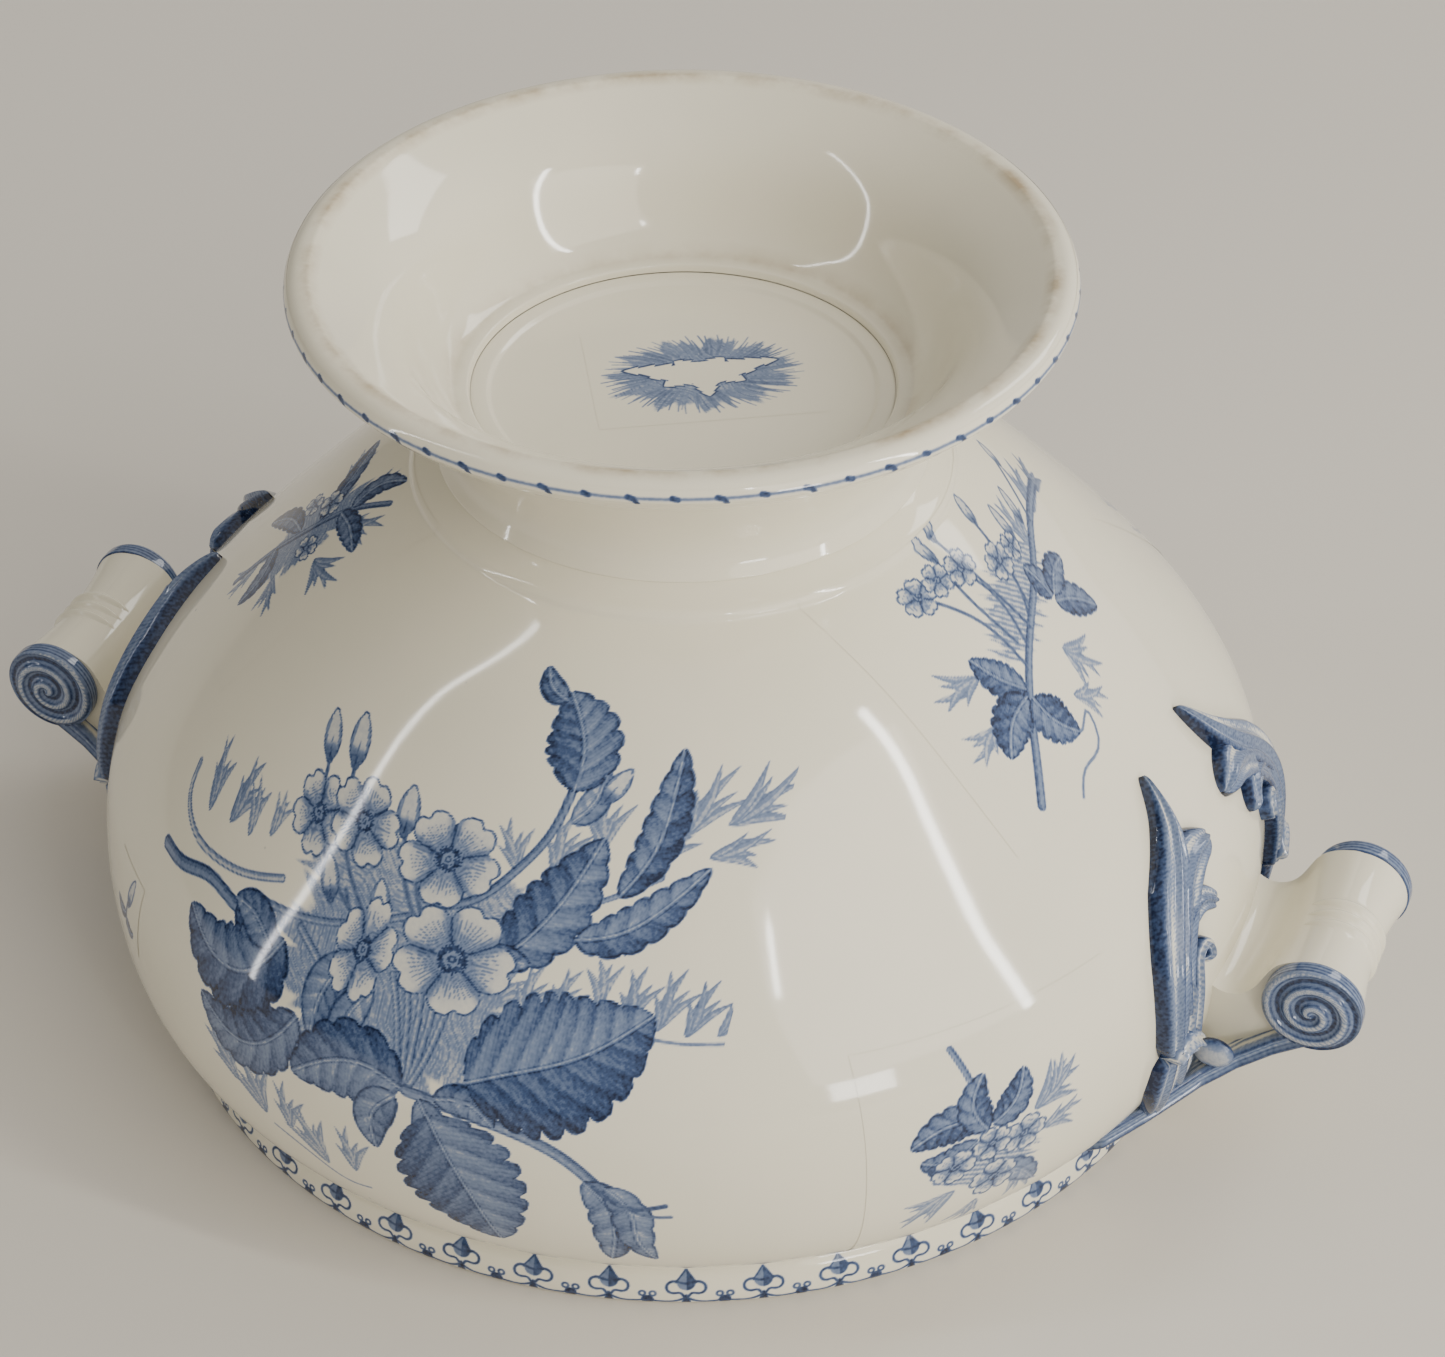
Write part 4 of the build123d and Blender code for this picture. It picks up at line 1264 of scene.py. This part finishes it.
@dataclass(frozen=True)
class ScrollHandle:
    """One handle: ribbon with its hollow panel, waisted roll, spiral ends and leaf arms.

    It is made on the +X side with its +Y half, and the rest is mirrored from that.
    """

    surface: BowlSurface
    reach: float = 145.0
    height: float = 42.0
    half_span: float = 18.5
    end_thickness: float = 3.5
    end_radius: float = 10.5
    ribbon_thickness: float = 5.4
    rounding: float = 1.1
    spiral_turns: float = 2.3
    ribbon_columns: int = 71
    panel_columns: int = 45
    panel_rows: int = 46
    roll_segments: int = 128
    coil_segments: int = 192
    coil_rows: int = 62

    UNDERSIDE = (
        (96.0, 3.0), (109.5, 9.3), (117.0, 13.4), (125.2, 18.0), (131.4, 22.0), (138.5, 27.3), (146.0, 32.4),
    )
    HALF_WIDTHS = (
        (96.0, 44.0), (109.5, 43.0), (117.0, 36.0), (125.2, 27.0), (131.4, 23.2), (138.0, 22.0), (147.0, 21.8),
    )

    def lobes(self) -> List[Ridge]:
        """The acanthus lobes of one arm, from its base to its tip."""
        return [
            Ridge(((37.6, 36.0), (37.4, 28.0), (34.8, 20.0), (31.0, 12.6)),
                  (6.5, 8.5, 6.5, 3.0), 3.2, False, 1.1, 0.5),
            Ridge(((33.0, 35.0), (32.0, 28.0), (29.0, 20.5)), (7.0, 10.0, 8.0), 3.0, False, 1.1, 0.52),
            Ridge(((32.0, 57.0), (25.0, 61.6), (19.0, 61.6), (15.2, 58.4)), (5.5, 6.6, 6.2), 3.0, True, 1.0, 0.52),
            Ridge(((34.0, 42.0), (32.0, 55.0), (24.5, 64.6), (16.0, 68.6), (7.2, 68.2)),
                  (4.5, 7.5, 10.5, 10.6, 8.4), 3.4, True, 1.0, 0.5),
            Ridge(((37.4, 34.0), (37.5, 46.0), (32.6, 59.5), (23.5, 68.6), (16.0, 76.0), (12.0, 83.2)),
                  (6.0, 7.0, 9.4, 10.4, 8.4, 4.6), 4.0, False, 1.05, 0.5),
            Ridge(((33.5, 33.0), (33.0, 43.0), (31.3, 52.0)), (4.4, 4.2, 3.0), 3.6, False, 1.2, 0.36),
            Ridge(((29.5, 32.0), (30.0, 41.0), (28.6, 49.5), (26.2, 54.6), (23.4, 54.4), (23.4, 51.4), (25.6, 51.6)),
                  (4.6, 4.0, 3.6, 3.2, 2.8), 3.3, True, 1.3, 0.36),
            Ridge(((39.8, 36.2), (35.0, 37.8), (29.4, 34.5)), (4.0, 7.0, 5.0), 5.0, True, 1.5, 0.28),
        ]

    def knuckle(self) -> Sheet:
        """The small boss where the arm springs from the ribbon."""
        turn = np.linspace(0, 2 * math.pi, 40, endpoint=False)[None]
        rise = np.linspace(-math.pi / 2, math.pi / 2, 25)[:, None]
        places = np.stack([
            126.6 + 4.4 * np.cos(rise) * np.cos(turn), 25.2 + 1.9 * np.cos(rise) * np.sin(turn),
            27.4 + 3.6 * np.sin(rise) + 0 * turn,
        ], -1)
        tone = 0.20 + 0.7 * np.abs(np.sin(rise)) ** 4 + 0.5 * np.abs(np.cos(turn)) ** 10
        return Sheet(places, True, {"pigment": np.clip(tone + 0 * turn, 0, 1)})

    def arm(self) -> List[Sheet]:
        """The leaf arm of the +Y half."""
        return [lobe.sheet(self.surface) for lobe in self.lobes()] + [self.knuckle()]

    def ribbon(self) -> Sheet:
        """The ribbon from the lip up to the scroll ends, its printed edges hollowed."""
        under = spline(self.UNDERSIDE, 200)
        widths = np.asarray(self.HALF_WIDTHS)
        soft, thick = self.rounding, self.ribbon_thickness
        quarter = np.radians(np.linspace(0, 90, 5))
        flat = np.linspace(-1, 1, self.ribbon_columns)
        rise = np.linspace(soft, thick - soft, 19)
        bead = soft - 0.75 * np.sin(math.pi * (rise - soft) / (thick - 2 * soft))
        right = np.concatenate([soft * np.sin(quarter), bead, soft * np.cos(quarter)])
        up = np.concatenate([soft * (1 - np.cos(quarter)), rise, thick - soft + soft * np.sin(quarter)])
        edge, none = np.ones_like(right), np.zeros_like(flat)
        share = np.concatenate([flat, edge, flat[::-1], -edge])
        extra = np.concatenate([none, right, none, -right[::-1]])
        level = np.concatenate([none, up, none + thick, up[::-1]])
        fine = np.linspace(under[0, 0], under[-1, 0], 500)
        floor_ = np.interp(fine, under[:, 0], under[:, 1])
        half = np.interp(fine, widths[:, 0], widths[:, 1]) - soft
        across = share[None] * half[:, None] + extra[None]
        height = floor_[:, None] + level[None]
        inside = np.hypot(fine[:, None], across) < self.surface.radius_at(height) - 1.0
        start = fine[np.clip(inside.sum(0), 0, 460)]
        step = np.linspace(0, 1, 96)[:, None]
        out = start[None] + (fine[-1] - start[None]) * step
        half_here = np.interp(out, fine, half)
        across = share[None] * half_here + extra[None]
        height = np.interp(out, fine, floor_) + level[None]
        run = out + 0.6 * level[None]
        line = comb(run / 1.25)
        edge = half_here + soft - np.abs(across)
        on_side = smooth_step((2.2 - edge) / 0.8)
        ends = bell((level[None] - 0.8) / 0.55) + bell((level[None] - thick + 0.8) / 0.55)
        grooves = bell((level[None] - 2.1) / 0.22) + bell((level[None] - 3.1) / 0.22)
        tone = on_side * (0.26 + 0.08 * (line < 0.2) + 0.55 * ends + 0.3 * grooves)
        band = bell((edge - 3.4) / 0.35) + bell((edge - 5.0) / 0.2)
        spread = smooth_step((128.0 - out) / 8.0) * (level[None] > thick - 0.1)
        tone = np.maximum(tone, 0.7 * band * (edge > 1.0))
        tone = np.maximum(tone, spread * (0.36 + 0.3 * (line < 0.2)) * (np.abs(across) > 19.5))
        places = np.stack([out, across, height], -1)
        middle = places[-1].mean(0)
        places = np.concatenate([places, np.repeat(middle[None, None], places.shape[1], 1)])
        tone = np.concatenate([tone, tone[-1:]])
        return Sheet(places, True, {"pigment": np.clip(tone, 0, 1)})

    def roll_radius(self, along: np.ndarray) -> np.ndarray:
        """The roll's radius at distances from its middle, without its ribs."""
        return 8.2 + 1.9 * (np.abs(along) / self.half_span) ** 2.0

    def panel(self) -> List[Sheet]:
        """The hollow panel, which sweeps from the bowl up and over the roll, with its two sides."""
        side, rows = np.linspace(-1, 1, self.panel_columns), self.panel_rows
        across = side * (self.half_span + 0.2)
        under = spline(self.UNDERSIDE, 200)
        tops, backs = [], []
        for v, s in zip(across, side):
            crease = 41.6 - 1.2 * s ** 2
            root = math.sqrt((float(self.surface.radius_at(crease)) - 1.6) ** 2 - v ** 2)
            radius = float(self.roll_radius(np.array(v)))
            over = [(self.reach + (radius + gap) * math.cos(math.radians(angle)),
                     self.height + (radius + gap) * math.sin(math.radians(angle)))
                    for angle, gap in ((139, 0.9), (116, 0.25), (96, 0.08), (80, -0.2))]
            low = 39.9 - 0.9 * s ** 2 - 0.5 * abs(s) ** 12
            tops.append(spline([(root, crease + 0.3), (root + 4.0, low), (root + 8.2, low + 1.1)] + over, rows))
            back_out = np.linspace(root, self.reach - 1.0, rows)
            backs.append(np.stack([back_out, np.interp(back_out, under[:, 0], under[:, 1]) + 2.6], -1))
        walls = []
        for row in (0, -1):
            share = np.linspace(0, 1, 7)[:, None, None]
            flat = backs[row][None] * (1 - share) + tops[row][None] * share
            wall = np.stack([flat[..., 0], np.full(flat.shape[:2], across[row]), flat[..., 1]], -1)
            walls.append(Sheet(wall if row == 0 else wall[:, ::-1]))
        top = np.stack(tops)
        middle = np.repeat(across[:, None], rows, 1)
        return [Sheet(np.stack([top[..., 0], middle, top[..., 1]], -1))] + walls

    def about_roll(self, radius: np.ndarray, turn: np.ndarray, along: np.ndarray) -> np.ndarray:
        """Places by their radius and angle about the roll's axis and their distance along it."""
        radius, turn, along = np.broadcast_arrays(radius, turn, along)
        return np.stack([self.reach + radius * np.cos(turn), along, self.height + radius * np.sin(turn)], -1)

    def roll(self) -> Sheet:
        """The waisted roll with three turned ribs round its middle."""
        along = np.linspace(-self.half_span, self.half_span, 149)
        radius = self.roll_radius(along)
        for rib in (-1, 0, 1):
            radius = radius + 0.95 * bell((along - rib * 3.4) / 0.9)
        turn = np.linspace(2 * math.pi, 0, self.roll_segments, endpoint=False)[None]
        return Sheet(self.about_roll(radius[:, None], turn, along[:, None]), True)

    def scroll_end(self) -> Sheet:
        """The spiral end of the +Y half: a round cheek with a coiled band in relief, printed with lines, with
        painted shade in its grooves and a painted highlight on its crests.
        """
        inner, outer = self.half_span, self.half_span + self.end_thickness
        edge = soften([
            (8.8, inner), (self.end_radius, inner), (self.end_radius, outer - 0.2), (self.end_radius - 1.0, outer)
        ], 0.4, 6.0, 0.4)
        face = np.linspace(self.end_radius - 1.2, 0.02, self.coil_rows)
        radius = np.concatenate([edge[:, 0], face])[:, None]
        across = np.concatenate([edge[:, 1], np.full(self.coil_rows, outer)])[:, None]
        turn = np.linspace(2 * math.pi, 0, self.coil_segments, endpoint=False)[None]
        pitch = (self.end_radius - 0.6) / self.spiral_turns
        phase = radius / pitch + turn / (2 * math.pi) + 0.35
        on_face = smooth_step((across - outer + 0.5) / 0.4)
        fade = smooth_step(radius / 1.6)
        wave = np.cos(2 * math.pi * phase)
        dome = 1.3 * np.clip(1 - radius / self.end_radius, 0, 1)
        across = across + on_face * (0.95 * fade * (np.abs(wave) ** 0.7 * np.sign(wave) - 1) * 0.5 + 0.35 + dome)
        # Painted shade: darker at the bottoms of the coil's grooves.
        groove = smooth_step((-wave - 0.62) / 0.3)
        hatch = comb(turn * radius * 0.9 + radius * 1.4)
        fine_line = bell(((phase % 1.0) - 0.22) / 0.05) + bell(((phase % 1.0) - 0.8) / 0.05)
        # Print hatching and lines on the coil, plus painted shade in the grooves and a painted highlight (lighter
        # tone) on the crests.
        face_tone = 0.36 + 0.10 * (hatch < 0.2) + 0.5 * groove + 0.34 * fine_line - 0.16 * (wave > 0.75)
        rim_line = comb(across * 1.15)
        rim_tone = 0.34 + 0.4 * (rim_line < 0.2)
        tone = on_face * face_tone + (1 - on_face) * rim_tone * (radius > self.end_radius - 0.9)
        return Sheet(self.about_roll(radius, turn, across), True, {"pigment": np.clip(tone, 0, 1)})

    def make(self, glaze: bpy.types.Material, ink: bpy.types.Material) -> None:
        """Builds and dresses both handles.

        Args:
            glaze: The unprinted finish.
            ink: The printed finish.
        """
        sides = {"right": lambda sheet: sheet, "left": lambda sheet: sheet.flipped(0)}
        ends = {"back": lambda sheet: sheet, "front": lambda sheet: sheet.flipped(1)}
        ribbon, panel, roll, coil, arm = self.ribbon(), self.panel(), self.roll(), self.scroll_end(), self.arm()
        for side, turn in sides.items():
            lug = build(f"ribbon_{side}", [turn(sheet) for sheet in [ribbon] + panel], 55.0)
            fit_out(lug, ink, [f"handle_lug_{side}"])
            fit_out(build(f"roll_{side}", [turn(roll)]), glaze, [f"handle_roll_{side}"])
            for end, swap in ends.items():
                cheek = build(f"scroll_{end}_{side}", [turn(swap(coil))], 60.0)
                fit_out(cheek, ink, [f"scroll_end_{end}_{side}"])
                leaves = build(f"acanthus_{end}_{side}", [turn(swap(lobe)) for lobe in arm], 60.0)
                fit_out(leaves, ink, [f"leaf_arm_{end}_{side}"])


# ---------------------------------------------------------------- stage, light and camera

@dataclass(frozen=True)
class WindowLight:
    """A softly lit pane: where it hangs, what it faces, its size in metres and its power in watts."""

    name: str
    place: Tuple[float, float, float]
    size: Tuple[float, float]
    power: float
    colour: str = "#FFFFFF"
    aim: Tuple[float, float, float] = (0.0, 0.0, 0.08)

    def make(self) -> None:
        """Hangs the light."""
        lamp = bpy.data.lights.new(self.name, "AREA")
        lamp.shape = "RECTANGLE"
        lamp.size, lamp.size_y = self.size
        lamp.energy = self.power
        lamp.color = linear(self.colour)[:3]
        thing = bpy.data.objects.new(self.name, lamp)
        thing.location = self.place
        thing.rotation_euler = (Vector(self.aim) - Vector(self.place)).to_track_quat("-Z", "Y").to_euler()
        bpy.context.scene.collection.objects.link(thing)


@dataclass(frozen=True)
class Studio:
    """A pale floor, a soft room and window panes, seen from the front right and above."""

    floor_colour: str = "#D3CEC4"
    room_colour: str = "#F3EEE6"
    dim_side: float = 0.08
    bright_side: float = 1.2
    camera_place: Tuple[float, float, float] = (0.2452, -0.6011, 0.5760)
    camera_aim: Tuple[float, float, float] = (0.0073, 0.0029, 0.0704)
    lens: float = 96.3
    roll_degrees: float = -0.06

    def floor(self) -> None:
        """Lays the floor under the rim."""
        span = 4000.0
        across, along = np.meshgrid(np.linspace(-span, span, 3), np.linspace(-span, span, 3))
        places = np.stack([across, along, np.full_like(across, -0.05)], -1)
        thing = build("pale_floor", [Sheet(places)])
        material = bpy.data.materials.new("matte_pale_floor")
        tree = blank(material)
        matte = add_node(tree, "ShaderNodeBsdfPrincipled", None, {
            "Base Color": linear(self.floor_colour), "Roughness": 0.8,
        })
        add_node(tree, "ShaderNodeOutputMaterial", None, {"Surface": matte.outputs["BSDF"]})
        thing.data.materials.append(material)

    def room(self) -> None:
        """Fills the room with soft light, brighter on the right than on the left."""
        world = bpy.data.worlds.new("soft_room")
        tree = blank(world)
        heading = add_node(tree, "ShaderNodeTexCoord").outputs["Generated"]
        side = add_node(tree, "ShaderNodeVectorMath", {"operation": "DOT_PRODUCT"}, {
            0: heading, 1: (0.90, 0.28, 0.18),
        })
        ends = (self.dim_side, self.bright_side)
        strength = remap(tree, side.outputs["Value"], (-0.9, 0.9), ends, "SMOOTHSTEP")
        back = add_node(tree, "ShaderNodeBackground", None, {
            "Color": linear(self.room_colour), "Strength": strength,
        })
        add_node(tree, "ShaderNodeOutputWorld", None, {"Surface": back.outputs["Background"]})
        bpy.context.scene.world = world

    def camera(self) -> None:
        """Sets the camera in front, to the right and well above the foot."""
        lens = bpy.data.cameras.new("main_view")
        lens.lens, lens.sensor_width, lens.clip_start = self.lens, 36.0, 0.01
        thing = bpy.data.objects.new("main_view", lens)
        thing.location = self.camera_place
        look = Vector(self.camera_aim) - Vector(self.camera_place)
        thing.rotation_euler = look.to_track_quat("-Z", "Y").to_euler()
        thing.rotation_euler.rotate_axis("Z", math.radians(self.roll_degrees))
        bpy.context.scene.collection.objects.link(thing)
        bpy.context.scene.camera = thing

    def make(self) -> None:
        """Sets the whole stage."""
        self.floor()
        self.room()
        self.camera()
        for light in (
            WindowLight("wide_window", (1.26, -0.64, 0.84), (1.16, 0.95), 10.0, "#FFF8EC"),
            WindowLight("window_edge_right", (1.46, -0.16, 0.90), (0.06, 1.15), 9.0),
            WindowLight("window_edge_left", (0.82, -0.96, 1.05), (0.022, 0.14), 0.5),
            WindowLight("door_gap", (-1.18, -0.72, 0.84), (0.028, 1.9), 4.5),
            WindowLight("low_pane", (1.20, -0.96, 0.26), (0.30, 0.22), 4.0),
            WindowLight("back_window", (0.9, 1.5, 1.5), (0.5, 0.9), 9.0),
        ):
            light.make()


def main() -> None:
    """Builds the bowl's pieces in order, then the stage."""
    logging.basicConfig(level=logging.INFO, format="%(name)s %(message)s")
    glaze = ClearGlaze()
    ink = CobaltPrint(glaze)
    white = glaze.material("clear_glaze_on_cream_ware")
    printed = ink.material("cobalt_transfer_under_glaze")
    worn = ink.material("clear_glaze_worn_foot", stained=True)
    line = BellyLine()
    surface = BowlSurface(line)
    foot = FootPedestal()
    BowlBody(line).make(white)
    foot.make(worn)
    Decoration(surface, foot).make(printed)
    ScrollHandle(surface).make(white, printed)
    Studio().make()


if __name__ == "__main__":
    main()
